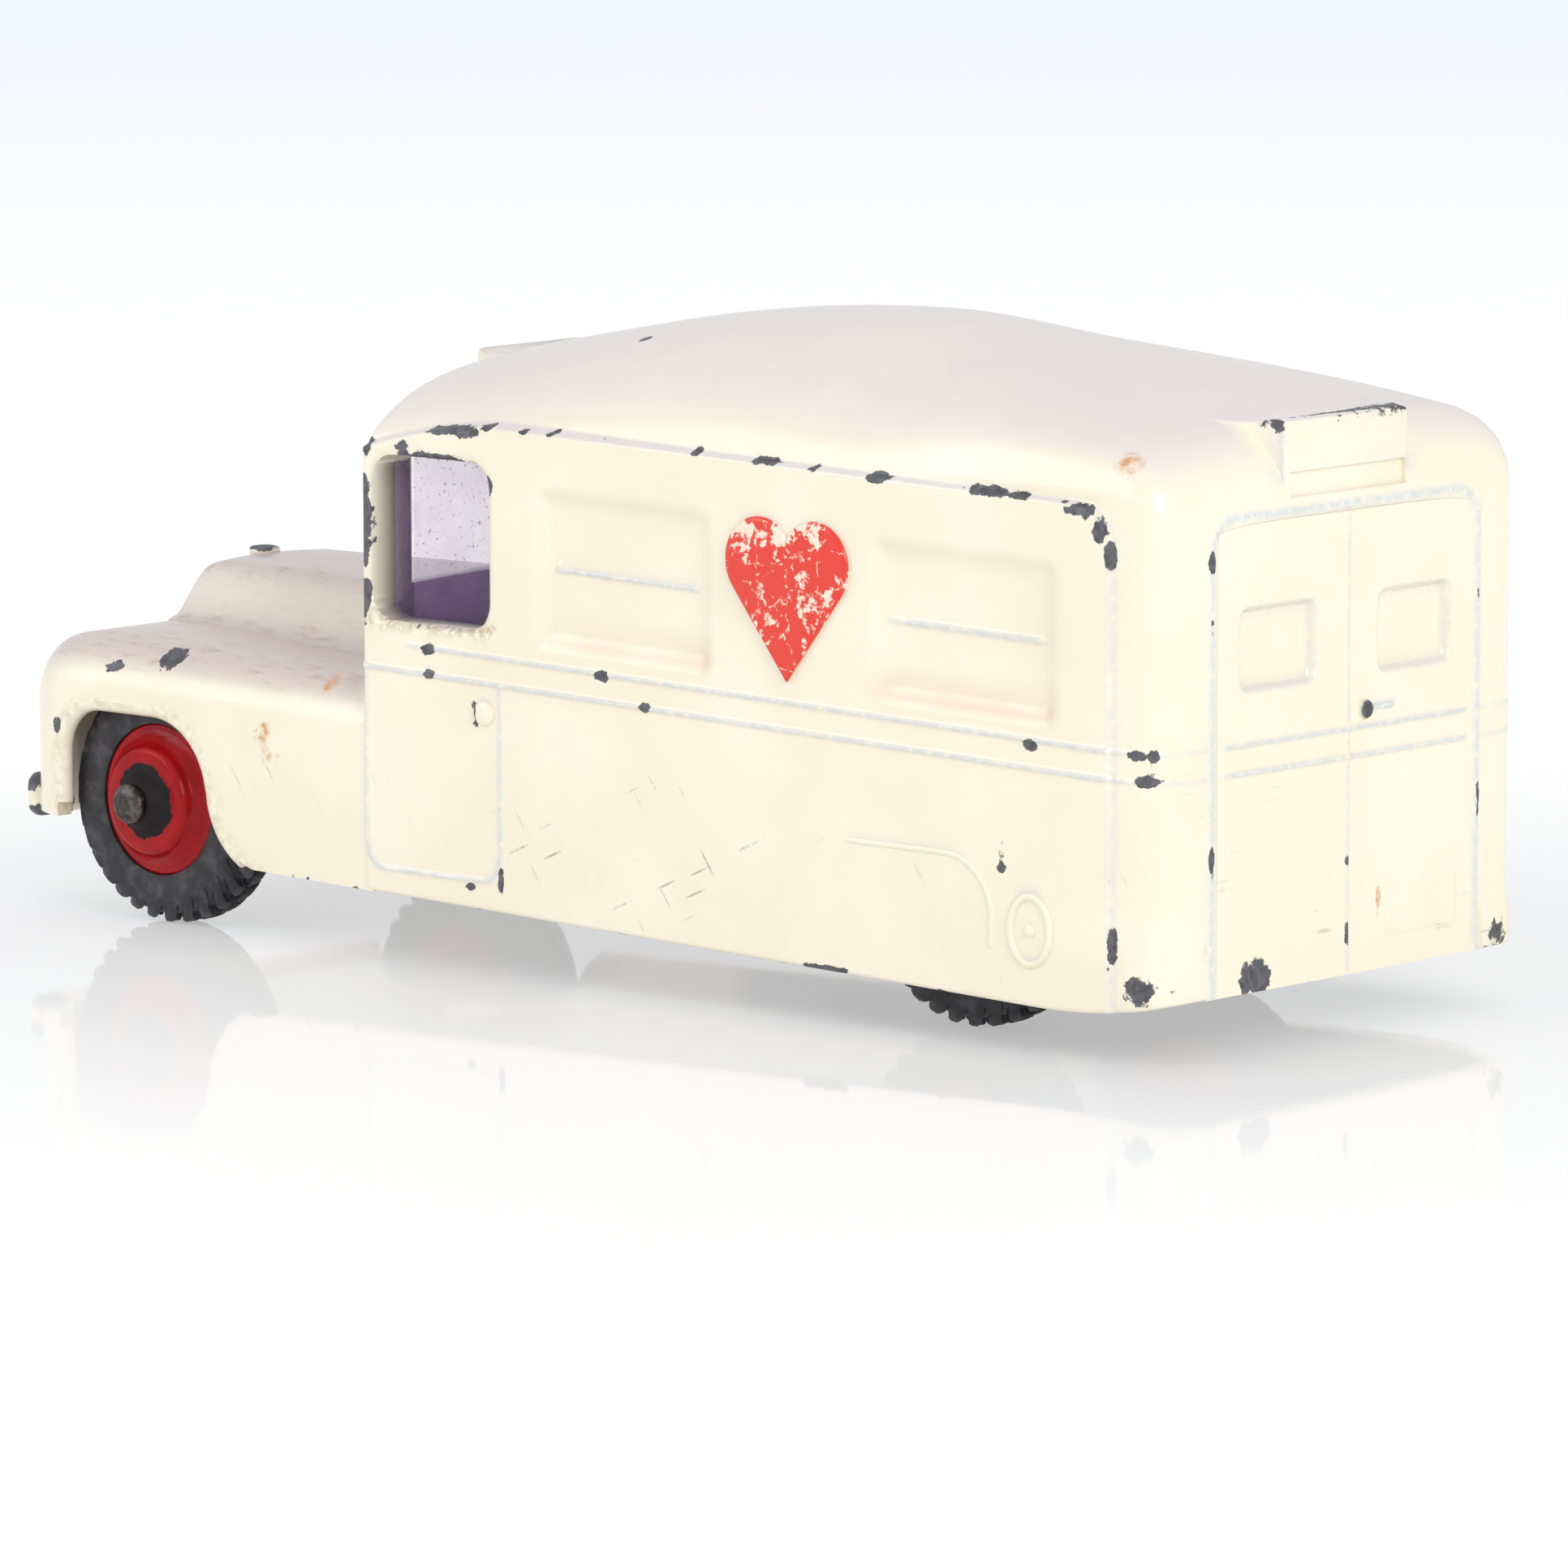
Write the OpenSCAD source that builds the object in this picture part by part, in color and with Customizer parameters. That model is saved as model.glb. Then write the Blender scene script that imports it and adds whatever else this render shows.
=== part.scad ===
// Die-cast toy ambulance: one hollow body casting, a pressed baseplate, one clear window
// moulding, two steel axles and four wheels with separate rubber tyres.
// Frame: the nose points to -X, the left side is -Y, Z is up and the tyres stand on Z = 0.

/* [Overall] */
// Length over the front bumper and the rear corners
overall_l = 96; // [92:0.5:104]
// Width across the flat sides
body_w = 34.6; // [33.6:0.2:38]
// Height of the roof's crown above the ground
roof_z = 40.9; // [39:0.1:45]

/* [Casting] */
// Thickness of the cast walls
wall = 1.3; // [1:0.05:1.5]
// Height of the sill above the ground at mid length
sill_z = 3.95; // [3:0.05:5]
// Fall of the sill and belt towards the rear, for each unit of length
line_fall_share = 0.027; // [0:0.001:0.04]
// Distance from the front of the bumper to the windscreen pillars
cab_setback = 31.9; // [30:0.1:34]
// Forward bow of the cab front at the centre line
cab_bow = 2.2; // [1:0.1:3]
// Depth of the rounded rear corner columns, along the length
corner_l = 3.4; // [2.5:0.1:5]
// Width of the rounded rear corner columns, across the back
corner_w = 4.45; // [3:0.05:5]
// Rise of the roof's crown over the ledge along the tops of the side panels
roof_rise = 7.15; // [6:0.05:8]
// How far the side panels stand proud of the roof skin
ledge_step = 0.4; // [0.2:0.05:0.5]
// Distance from the ledge down to the top of the rear doors
rear_door_drop = 1.65; // [1:0.05:2.5]
// Drop of the roof's ridge from the crown to the windscreen
roof_front_drop = 3.8; // [2:0.1:4.5]
// Drop of the roof's ridge from the crown to the rear dome
roof_rear_drop = 0.9; // [0:0.1:1.5]
// Length of the rounded rear end of the roof
dome_l = 5.5; // [4:0.1:8]
// Radius of the roof's front edge
roof_edge_r = 1.8; // [1:0.1:2.5]

/* [Nose] */
// Height of the bonnet
bonnet_z = 22.3; // [21:0.1:24]
// Width of the bonnet at the cowl
bonnet_w = 20; // [17:0.1:23]
// Width of the bonnet at the radiator
bonnet_front_w = 12; // [10:0.1:14]
// Height of the tops of the wings
wing_z = 18.2; // [17.5:0.1:19]
// Rounding of the wings' noses, seen from above and from the side
wing_round = 5; // [3:0.1:6]
// Distance that the wings stand behind the front of the bumper
wing_setback = 0.6; // [0.4:0.05:1.2]
// Width of the radiator grille
grille_w = 10; // [8:0.1:11]
// Number of upright bars in the grille
grille_bars = 9; // [5:2:13]
// Diameter of the headlamps
lamp_d = 4.8; // [4:0.1:5.4]
// Height of the front bumper bar
bumper_h = 2.6; // [2:0.1:3.2]

/* [Windows and panels] */
// Length of the cab's side window
window_l = 10; // [8:0.1:10.6]
// Distance from the ledge down to the cab's side window
window_head = 2.25; // [1.9:0.05:4]
// Length of the blind side panels
panel_l = 14.6; // [12:0.1:15]
// Height of the blind side panels
panel_h = 10; // [8:0.1:10.5]
// Depth of the blind side panels and rear windows
panel_depth = 0.6; // [0.3:0.05:0.7]
// Width of the slope round the blind side panels and rear windows
panel_bevel = 1.2; // [0.4:0.1:1.6]
// Width of each rear window
rear_window_w = 6.6; // [5:0.1:7]
// Height of each rear window
rear_window_h = 5.2; // [4:0.1:6]
// Width of the raised heart on each side
emblem_w = 9.6; // [7:0.1:10]

/* [Belt and trim] */
// Height of the lower belt bead at mid length
belt_z = 17.7; // [17:0.05:18.5]
// Distance between the two belt beads
belt_pitch = 1.65; // [1.4:0.05:2]
// Width of the belt beads
bead_w = 0.55; // [0.4:0.05:0.8]
// Height of the belt beads over the panel
bead_h = 0.25; // [0.15:0.05:0.4]
// Width of the raised door lines
line_w = 0.45; // [0.3:0.05:0.6]
// Height of the raised door lines
line_h = 0.15; // [0.1:0.05:0.3]
// Width of the roof's sign boxes
sign_w = 13.4; // [10:0.1:15]

/* [Running gear] */
// Distance from the front of the bumper to the front axle
front_overhang = 12.3; // [11.8:0.1:13]
// Distance from the rear axle to the back of the body
rear_overhang = 19.05; // [17:0.05:21]
// Outer diameter of the tyres
tyre_d = 15.9; // [15:0.1:16.4]
// Width of the tyres
tyre_w = 4.2; // [3.6:0.1:4.4]
// How far the front axle's ends stand out past the flat sides
front_stand = 1.25; // [1:0.05:1.5]
// Clearance between the rear axle's ends and the inside of the side walls
rear_end_gap = 0.25; // [0.2:0.05:1]
// Diameter of the wheel hubs
hub_d = 9.6; // [9:0.1:10.4]
// Diameter of the axles
axle_d = 2; // [1.6:0.1:2.2]
// Running clearance round the axles
axle_gap = 0.05; // [0.03:0.01:0.08]
// Number of tread lugs on each shoulder of a tyre
lug_count = 30; // [20:2:36]

/* [Baseplate and glazing] */
// Thickness of the baseplate
plate_t = 0.5; // [0.4:0.05:0.8]
// Diameter of the posts that carry the baseplate
post_d = 4.4; // [3.6:0.1:5]
// Thickness of the window moulding
glass_t = 0.8; // [0.6:0.05:1]
// Clearance between pieces that lie against each other
seat_gap = 0.1; // [0.05:0.01:0.2]

/* [Hidden] */

// Facets on plain round features
$fn = 24;
// Overrun of every cut past the face that it opens
over = 1;

// Main planes
half_w = body_w / 2;
shell_half = half_w - ledge_step;
front_x = -overall_l / 2;
knob_h = 0.45;
rear_x = overall_l / 2 - knob_h;
crease_x = rear_x - corner_l;
door_half = half_w - corner_w;
pillar_x = front_x + cab_setback;
cab_x = pillar_x - cab_bow;
nose_x = front_x + wing_setback;
dome_x = rear_x - dome_l;
ledge_z = roof_z - roof_rise;
rear_door_top_z = ledge_z - rear_door_drop;

// Fullness of the roof's section, of the rear corners and dome, and of the wings
roof_power = 2.4;
corner_power = 2.3;
wing_power = 2.2;
shoulder_power = 5;

// The roof's crown lies this share of the way from the pillars to the rear
crown_share = 0.49;
crown_x = pillar_x + crown_share * (rear_x - pillar_x);
front_drop_power = 1.65;

// The ledge dips over the cab window
ledge_dip = 2.3;
ledge_dip_l = 11.6;
ledge_dip_power = 1.6;
ledge_dip_x = pillar_x + ledge_dip_l;

// The sill sweeps up at the tail
tail_rise = 1.1;
tail_rise_l = 9;

// Running gear positions
tyre_r = tyre_d / 2;
axle_z = tyre_r;
axle_r = axle_d / 2;
front_axle_x = front_x + front_overhang;
rear_axle_x = rear_x - rear_overhang;

// Wheel details, outwards from the tyre's inner face
hub_r = hub_d / 2;
hub_inset = 0.3;
flange_t = 0.6;
flange_h = 0.5;
tyre_grip = 0.02;
hub_boss_r = 2.2;
hub_boss_l = 0.35;
hub_face_r = 3.3;
hub_face_rise = 1.3;
hub_cone_rise = 0.7;
hub_edge = 0.25;
nave_r = 1.75;
nave_top_r = 1.35;
nave_rise = 1;
head_lip = 0.25;
head_r = axle_r + head_lip;
head_l = 0.65;
head_dome = 0.3;
wheel_float = 0.15;
lug_w = 0.5;
lug_depth = 0.5;
lug_slant = 28;

// Wheel rim plane, hub face, nave top and axle end, outwards from the tyre's inner face
rim_a = tyre_w - hub_inset;
face_a = rim_a + hub_face_rise;
nave_a = face_a + nave_rise;
axle_a = nave_a + wheel_float + head_l;
front_inner_y = half_w + front_stand - axle_a;
rear_inner_y = shell_half - wall - rear_end_gap - axle_a;

// Cast walls that carry the axles, inside the wheels
front_rib_y = front_inner_y - hub_boss_l - wheel_float;
rear_rib_y = rear_inner_y - hub_boss_l - wheel_float;
rib_t = wall;
well_gap = 0.8;
well_side_gap = 0.25;
well_top_z = tyre_d + well_gap;

// Baseplate and its posts
plate_top = axle_z - axle_r - axle_gap;
plate_bottom = plate_top - plate_t;
plate_gap = 0.5;
spigot_d = 2.2;
spigot_head_d = 3.4;
spigot_head_h = 0.5;
front_post_x = front_axle_x + tyre_r + post_d;
rear_post_x = rear_x - wall - post_d / 2;
rear_post_h = 9;

// Cab window and glazing
window_lift = 1.95;
window_sill_z = belt_z + belt_pitch + window_lift;
window_h = ledge_z - window_head - window_sill_z;
window_corner_r = 1.6;
window_r = min(window_corner_r, window_h / 3);
pillar_w = 0.8;
window_x = pillar_x + pillar_w;
glass_lap = 0.6;
glass_top_z = window_sill_z + window_h + glass_lap;
glass_back_x = window_x + window_l + glass_lap;
glass_peg_d = 1.8;
glass_peg_head_d = 2.8;
glass_peg_head_h = 0.4;
glass_peg_x = (pillar_x + glass_back_x) / 2;
screen_post = 1.4;
screen_lift = 0.8;
screen_sill_z = bonnet_z + screen_lift;
screen_drop = 0.5;
screen_top_z = window_sill_z + window_h - screen_drop;
screen_h = screen_top_z - screen_sill_z;
screen_inset = 2.7;
screen_half = half_w - screen_inset;

// Side features, along the length
door_l = 11.4;
door_setback = 0.6;
door_x = pillar_x + door_setback;
door_lift = 1.55;
door_bottom_z = sill_z + door_lift;
door_r = 1.5;
panel_corner_r = 2.6;
panel_lift = 0.3;
pocket_lift = 1.05;
pocket_z = belt_z + belt_pitch + pocket_lift;
panel_r = 0.8;
panel_bar_l = 11.8;
front_panel_setback = 14.6;
front_panel_x = pillar_x + front_panel_setback;
rear_panel_setback = 22.05;
rear_panel_x = rear_x - rear_panel_setback;
emblem_x = (front_panel_x + panel_l + rear_panel_x) / 2;
emblem_z = pocket_z + panel_h / 2;
emblem_h = 0.35;
handle_setback = 1.4;
handle_x = door_x + door_l - handle_setback;
handle_drop = 1.4;
handle_z = belt_z - handle_drop;
handle_d = 1.5;
handle_l = 2.6;
handle_h = 0.35;
filler_setback = 6.1;
filler_x = crease_x - filler_setback;
filler_lift = 3.55;
filler_z = sill_z + filler_lift;
filler_w = 3.1;
filler_l = 4;
filler_rim = 0.45;
arch_line_r = 6.6;
arch_line_drop = 3.05;
arch_line_z = axle_z - arch_line_drop;
lower_bead_lead = 0.8;
lower_bead_x = pillar_x - lower_bead_lead;
upper_bead_setback = 3.6;
upper_bead_x = pillar_x + upper_bead_setback;

// Rear features, across the back
rear_window_y = 3.1;
rear_window_lift = 1.85;
rear_window_z = belt_z + belt_pitch + rear_window_lift;
rear_rim_w = 1;
rear_rim_h = 0.3;
rear_rim_r = 2;
knob_y = 1.6;
knob_lift = 1.6;
knob_z = belt_z + knob_lift;
knob_d = 1.1;
knob_bar_l = 3.3;
plate_panel_y = 3.5;
plate_panel_lift = 1.85;
plate_panel_z = sill_z + plate_panel_lift;
plate_panel_w = 6.7;
plate_panel_h = 3.2;
buffer_h = 3;
buffer_w = 5.2;
buffer_rise = 0.25;

// Nose features
wing_inset = 0.1;
wing_shoulder_h = 6.2;
wing_mid_z = wing_z - wing_shoulder_h;
nose_drop = 4.7;
nose_top_z = wing_z - nose_drop;
bonnet_round = 3;
bonnet_crown_share = 0.12;
bonnet_edge_share = 0.62;
bonnet_side_share = 0.68;
bonnet_setback = 2;
bonnet_x = front_x + bonnet_setback;
bumper_z = 5.9;
bumper_t = 1.3;
bumper_sweep = 2.4;
bumper_inset = 0.7;
bumper_half = half_w - bumper_inset;
grille_setback = 1.1;
grille_x = front_x + grille_setback;
grille_depth = 2.6;
grille_lap = 0.1;
grille_z = bumper_z + bumper_h - grille_lap;
grille_drop = 1.7;
grille_top_z = bonnet_z - grille_drop;
grille_slot_w = 0.5;
grille_slot_depth = 0.5;
throat_side = 3.6;
throat_half = grille_w / 2 + throat_side;
throat_l = 3.2;
throat_x = front_x + throat_l;
lamp_inset = 5.7;
lamp_y = half_w - lamp_inset;
lamp_drop = 6.6;
lamp_z = wing_z - lamp_drop;
lamp_h = 0.9;
cap_d = 2.2;
cap_h = 0.6;
cap_setback = 5;
cap_x = front_x + cap_setback;

// Front wheel arch, from the axle
arch_front_l = 7.4;
arch_corner_r = 3.4;
arch_main_r = 5.4;
arch_top = 6;
arch_heel_r = 5;
arch_heel_l = 11.2;
arch_lap = 0.12;

// Sign boxes on the roof's front and rear edges
sign_rise = 3.05;
sign_top_z = ledge_z + sign_rise;
sign_front_l = 5;
sign_rear_l = 4;
sign_inset = 0.15;

// Places of the lofts' sections, as shares of the length that each loft spans
van_shares = [0, 0.008, 0.016, 0.025, 0.035, 0.05, 0.08, 0.12, 0.17, 0.23, 0.3, 0.4, 0.5, 0.6,
  0.7, 0.8, 0.88, 0.94, 0.97, 1];
corner_shares = [0.12, 0.3, 0.48, 0.64, 0.78, 0.88, 0.95, 0.985, 1];
nose_shares = [1, 0.985, 0.95, 0.88, 0.78, 0.64, 0.48, 0.3, 0.12];
nose_back_shares = [0, 0.15, 0.35, 0.6, 0.85, 1];
cavity_shares = [0, 0.03, 0.07, 0.13, 0.22, 0.35, 0.5, 0.65, 0.8, 0.9, 0.97, 1];

// Steps round half of a van section and across half of a nose section
van_steps = 12;
nose_y_shares = [1, 0.995, 0.98, 0.95, 0.9, 0.83, 0.75, 0.66, 0.57, 0.48, 0.4, 0.32, 0.24, 0.12];

// Curve helpers: a superellipse's quarter and a smooth step
function quarter(t, power) = pow(max(0, 1 - pow(max(0, t), power)), 1 / power);
function clamp(t) = min(1, max(0, t));
function smooth(t) = clamp(t) * clamp(t) * (3 - 2 * clamp(t));
function mix(a, b, t) = a + (b - a) * t;

// Lines of the casting along its length
function line_drop(x) = -line_fall_share * x;
function sill(x) = sill_z + line_drop(x)
  + tail_rise * pow(clamp((x - rear_x + tail_rise_l) / tail_rise_l), 2);
function ledge(x) = ledge_z + line_drop(x)
  - ledge_dip * pow(max(0, (ledge_dip_x - x) / ledge_dip_l), ledge_dip_power);
function van_half(x, inset) = x <= crease_x ? shell_half - inset
  : mix(door_half, shell_half, quarter((x - crease_x) / corner_l, corner_power)) - inset;
function ridge_line(x) = roof_z
  - roof_front_drop * pow(max(0, (crown_x - x) / (crown_x - pillar_x)), front_drop_power)
  - roof_rear_drop * pow(max(0, (x - crown_x) / (rear_x - crown_x)), 2);
function ridge(x) = x <= dome_x ? ridge_line(x)
  : mix(rear_door_top_z, ridge_line(x), quarter((x - dome_x) / dome_l, corner_power));
function shoulder(x) = min(ledge(x) - ledge_step, rear_door_top_z - ledge_step
  - tail_rise * smooth((x - dome_x) / dome_l));

// Distance that the roof drops where its front edge rounds over
function cab_edge(share) = pillar_x - cab_bow * (1 - share * share);
function edge_drop(d, r) = d >= r ? 0 : r - sqrt(max(0, pow(r, 2) - pow(r - max(0, d), 2)));
function roof_at(x, share, inset) = shoulder(x)
  + (ridge(x) - inset - shoulder(x)) * quarter(share, roof_power)
  - edge_drop(x - inset - cab_edge(share), max(roof_edge_r - inset, wing_inset));

// One section of the van, from the left sill over the roof to the right sill
function van_ring(x, inset, foot) = let (h = van_half(x, inset)) concat(
  [[x, -h, foot(x)]],
  [for (i = [van_steps:-1:1]) let (s = sin(90 * i / van_steps)) [x, -h * s, roof_at(x, s, inset)]],
  [[x, 0, roof_at(x, 0, inset)]],
  [for (i = [1:van_steps]) let (s = sin(90 * i / van_steps)) [x, h * s, roof_at(x, s, inset)]],
  [[x, h, foot(x)]]);

// Half width, wing height and bonnet of the nose
function nose_t(x) = clamp((nose_x + wing_round - x) / wing_round);
function nose_half(x) = half_w - wing_inset - wing_round * (1 - quarter(nose_t(x), wing_power));
function wing_top(x) = mix(nose_top_z, wing_z + line_drop(x - pillar_x), quarter(nose_t(x), wing_power));
function bonnet_half(x) = mix(bonnet_front_w, bonnet_w, clamp((x - nose_x) / (pillar_x - nose_x))) / 2;
function bonnet_top(x) = mix(wing_top(x), bonnet_z, quarter((bonnet_x + bonnet_round - x) / bonnet_round,
  wing_power));
function bonnet_share(t) = 1 - bonnet_crown_share * t * t
  - (1 - bonnet_crown_share) * smooth((t - bonnet_edge_share) / bonnet_side_share);
function nose_at(x, y) = mix(wing_mid_z, wing_top(x), quarter(y / nose_half(x), shoulder_power))
  + (bonnet_top(x) - wing_top(x)) * max(0, bonnet_share(y / bonnet_half(x)));
function nose_ring(x, inset, foot) = let (h = nose_half(x)) concat(
  [[x, inset - h, foot(x)]],
  [for (s = nose_y_shares) [x, s * (inset - h), nose_at(x, s * h) - inset]],
  [[x, 0, nose_at(x, 0) - inset]],
  [for (i = [len(nose_y_shares) - 1:-1:0]) let (s = nose_y_shares[i])
    [x, s * (h - inset), nose_at(x, s * h) - inset]],
  [[x, h - inset, foot(x)]]);

// Solid skin over a row of sections with equal counts of points
module loft(rings) {
  n = len(rings[0]);
  last = len(rings) - 1;
  polyhedron(points = [for (ring = rings) each ring], faces = concat(
    [[for (j = [n - 1:-1:0]) j]],
    [[for (j = [0:n - 1]) last * n + j]],
    [for (i = [0:last - 1], j = [0:n - 1]) let (k = (j + 1) % n)
      each [[i * n + j, i * n + k, (i + 1) * n + k], [i * n + j, (i + 1) * n + k, (i + 1) * n + j]]]));
}

// Outline of the body seen from above, with its front bow and rear corners, grown outwards
function plan_side(side, grow) = concat(
  [for (i = [0:6]) let (s = side * i / 6) [cab_edge(s) - grow, s * (half_w + grow)]],
  [[crease_x, side * (half_w + grow)]],
  [for (t = concat([0], corner_shares)) [crease_x + t * (corner_l + grow),
    side * (mix(door_half, shell_half, quarter(t, corner_power)) + grow * (1 - t))]]);
module plan_outline(grow) {
  right = plan_side(1, grow);
  left = plan_side(-1, grow);
  polygon(concat(right, [for (i = [len(left) - 1:-1:1]) left[i]]));
}

// Block behind the bowed cab front, which trims the van to its plan
module cab_trim(setback) {
  reach = half_w + over;
  edge = [for (i = [-8:8]) [cab_edge(i / 8) + setback, i / 8 * half_w]];
  translate([0, 0, -2 * over]) linear_extrude(roof_z + 4 * over)
    polygon(concat([[edge[0][0], -reach]], edge, [[edge[16][0], reach], [rear_x + over, reach],
      [rear_x + over, -reach]]));
}

// Slab along the length that follows the fall of the body's lines
module sloped_slab(x0, x1, z0, h) {
  rotate([90, 0, 0]) linear_extrude(body_w + 2 * over, center = true)
    polygon([[x0, z0 + line_drop(x0)], [x1, z0 + line_drop(x1)],
      [x1, z0 + h + line_drop(x1)], [x0, z0 + h + line_drop(x0)]]);
}

// Draws a flat outline on the left side and its mirror on the right, standing out by rise
module on_sides(rise, depth = wall / 2) {
  for (side = [0, 1]) mirror([0, side, 0])
    translate([0, depth - half_w, 0]) rotate([90, 0, 0]) linear_extrude(depth + rise) children();
}
module on_back(rise, depth = wall / 2) {
  translate([rear_x - depth, 0, 0]) rotate([90, 0, 90]) linear_extrude(depth + rise) children();
}
module round_rect(w, h, r) {
  hull() for (x = [r, w - r], y = [r, h - r]) translate([x, y]) circle(r, $fn = 16);
}
module line_frame(w, h, r) {
  difference() {
    round_rect(w, h, r);
    translate([line_w, line_w]) round_rect(w - 2 * line_w, h - 2 * line_w, max(r - line_w, line_w));
  }
}
module heart(w) {
  lobe_share = 0.275;
  lobe = lobe_share * w;
  lobe_z = w / 2 - lobe;
  flank = 52;
  flank_y = w / 2 - lobe * (1 - sin(flank));
  flank_z = lobe_z - lobe * cos(flank);
  for (side = [-1, 1]) translate([side * (w / 2 - lobe), lobe_z]) circle(lobe, $fn = 32);
  polygon([[0, -w / 2], [flank_y, flank_z], [0, 2 * lobe_z], [-flank_y, flank_z]]);
}

// Flat side panels with their ledge and rounded rear top corner
module side_panel_outline() {
  end_x = crease_x - panel_lift;
  corner_x = end_x - panel_corner_r;
  corner_z = ledge(corner_x) - panel_corner_r;
  top = [for (i = [0:12]) let (x = mix(pillar_x, corner_x, i / 12)) [x, ledge(x)]];
  corner = [for (i = [1:6]) [corner_x + panel_corner_r * sin(90 * i / 6),
    corner_z + panel_corner_r * cos(90 * i / 6)]];
  foot = [for (i = [8:-1:0]) let (x = mix(pillar_x, end_x, i / 8)) [x, sill(x) + panel_lift]];
  polygon(concat(top, corner, foot));
}

// Outer skin of the van and of the nose
module van_skin() {
  intersection() {
    loft(concat(
      [for (s = van_shares) van_ring(mix(cab_x - over, crease_x, s), 0, function (x) sill(x))],
      [for (s = corner_shares) van_ring(crease_x + s * corner_l, 0, function (x) sill(x))]));
    cab_trim(0);
  }
}
module nose_skin(inset = 0) {
  back_x = pillar_x + wall;
  loft(concat(
    [for (s = nose_shares) nose_ring(nose_x + inset + (1 - s) * wing_round, inset, function (x) sill(x))],
    [for (s = nose_back_shares)
      nose_ring(mix(nose_x + inset + wing_round, back_x, s), inset, function (x) sill(x))]));
}
module cavities() {
  intersection() {
    loft([for (s = cavity_shares) van_ring(mix(cab_x - over, rear_x - wall, s), wall, function (x) -over)]);
    cab_trim(wall);
  }
  difference() {
    loft(concat(
      [for (s = nose_shares) nose_ring(nose_x + (1 - s) * wing_round + wall, wall, function (x) -over)],
      [for (s = nose_back_shares) nose_ring(mix(nose_x + wing_round + wall, pillar_x + 2 * wall, s), wall,
        function (x) -over)]));
    translate([front_x - over, -throat_half - wall, grille_z - wall])
      cube([throat_x - front_x + wall + over, 2 * (throat_half + wall), roof_z]);
  }
}

// Raised and sunk detail of the casting
module side_trim() {
  on_sides(line_h) intersection() {
    translate([door_x, door_bottom_z]) line_frame(door_l, belt_z - door_bottom_z + 2 * door_r, door_r);
    translate([door_x, door_bottom_z]) square([door_l, belt_z - door_bottom_z]);
  }
  on_sides(emblem_h) translate([emblem_x, emblem_z]) heart(emblem_w);
  on_sides(handle_h) {
    translate([handle_x, handle_z]) circle(d = handle_d);
    translate([handle_x - handle_l, handle_z - handle_d / 6]) square([handle_l, handle_d / 3]);
  }
  on_sides(line_h) translate([filler_x, filler_z]) {
    inner_w = filler_w - 2 * filler_rim;
    inner_l = filler_l - 2 * filler_rim;
    difference() {
      scale([filler_w / filler_l, 1]) circle(d = filler_l);
      scale([inner_w / inner_l, 1]) circle(d = inner_l);
    }
    circle(d = filler_rim * 2);
  }
  on_sides(line_h) translate([rear_axle_x, arch_line_z]) intersection() {
    difference() {
      circle(arch_line_r, $fn = 40);
      circle(arch_line_r - line_w, $fn = 40);
    }
    translate([-arch_line_r, 0]) square(2 * arch_line_r);
  }
  for (x = [front_panel_x, rear_panel_x])
    on_sides(line_h - panel_depth, panel_depth + line_h)
      translate([x + (panel_l - panel_bar_l) / 2, pocket_z + panel_h / 2 + line_drop(x)])
        square([panel_bar_l, line_w]);
}
module pocket(w, h) {
  foot_w = w - 2 * panel_bevel;
  foot_h = h - 2 * panel_bevel;
  grow = [w / foot_w, h / foot_h];
  translate([w / 2, h / 2, 0]) {
    linear_extrude(panel_depth, scale = grow, slices = 1, segments = 0)
      translate([-foot_w / 2, -foot_h / 2]) round_rect(foot_w, foot_h, panel_r);
    translate([0, 0, panel_depth]) linear_extrude(over) scale(grow)
      translate([-foot_w / 2, -foot_h / 2]) round_rect(foot_w, foot_h, panel_r);
  }
}
module side_pockets() {
  for (x = [front_panel_x, rear_panel_x], side = [0, 1]) mirror([0, side, 0])
    translate([x, panel_depth - half_w, pocket_z + line_drop(x)]) rotate([90, 0, 0])
      pocket(panel_l, panel_h);
}
module rear_trim() {
  rim_z = sill(rear_x) + rear_rim_w;
  rim_half = door_half - line_h;
  on_back(rear_rim_h) difference() {
    translate([-rim_half, rim_z - rear_rim_r * 2])
      round_rect(2 * rim_half, rear_door_top_z - line_h - rim_z + 2 * rear_rim_r, rear_rim_r);
    translate([rear_rim_w - rim_half, rim_z - rear_rim_r * 2])
      round_rect(2 * (rim_half - rear_rim_w), rear_door_top_z - line_h - rim_z + 2 * rear_rim_r - rear_rim_w,
        rear_rim_r);
    translate([-body_w, -body_w]) square([2 * body_w, body_w + rim_z]);
  }
  on_back(line_h) translate([-line_w / 2, rim_z]) square([line_w, rear_door_top_z - rear_rim_w / 2 - rim_z]);
  on_back(line_h) translate([plate_panel_y, plate_panel_z]) line_frame(plate_panel_w, plate_panel_h, line_w);
  on_back(knob_h) translate([knob_y, knob_z]) circle(d = knob_d);
  on_back(line_h) translate([knob_y, knob_z - line_w / 2]) square([knob_bar_l, line_w]);
}
module rear_pockets() {
  for (side = [0, 1]) mirror([0, side, 0])
    translate([rear_x - panel_depth, rear_window_y, rear_window_z]) rotate([90, 0, 90])
      pocket(rear_window_w, rear_window_h);
}
module belt() {
  for (bead = [[lower_bead_x, 0], [upper_bead_x, belt_pitch]])
    intersection() {
      linear_extrude(roof_z) plan_outline(bead_h);
      sloped_slab(bead[0], rear_x + over, belt_z + bead[1], bead_w);
    }
}
module rear_buffers() {
  intersection() {
    translate([0, 0, sill(rear_x)]) linear_extrude(buffer_h) plan_outline(buffer_rise);
    union() for (side = [-1, 1])
      translate([crease_x + panel_lift, side * (half_w - buffer_w / 2) - buffer_w / 2, 0])
        cube([corner_l + over, buffer_w, roof_z]);
  }
}
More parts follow.
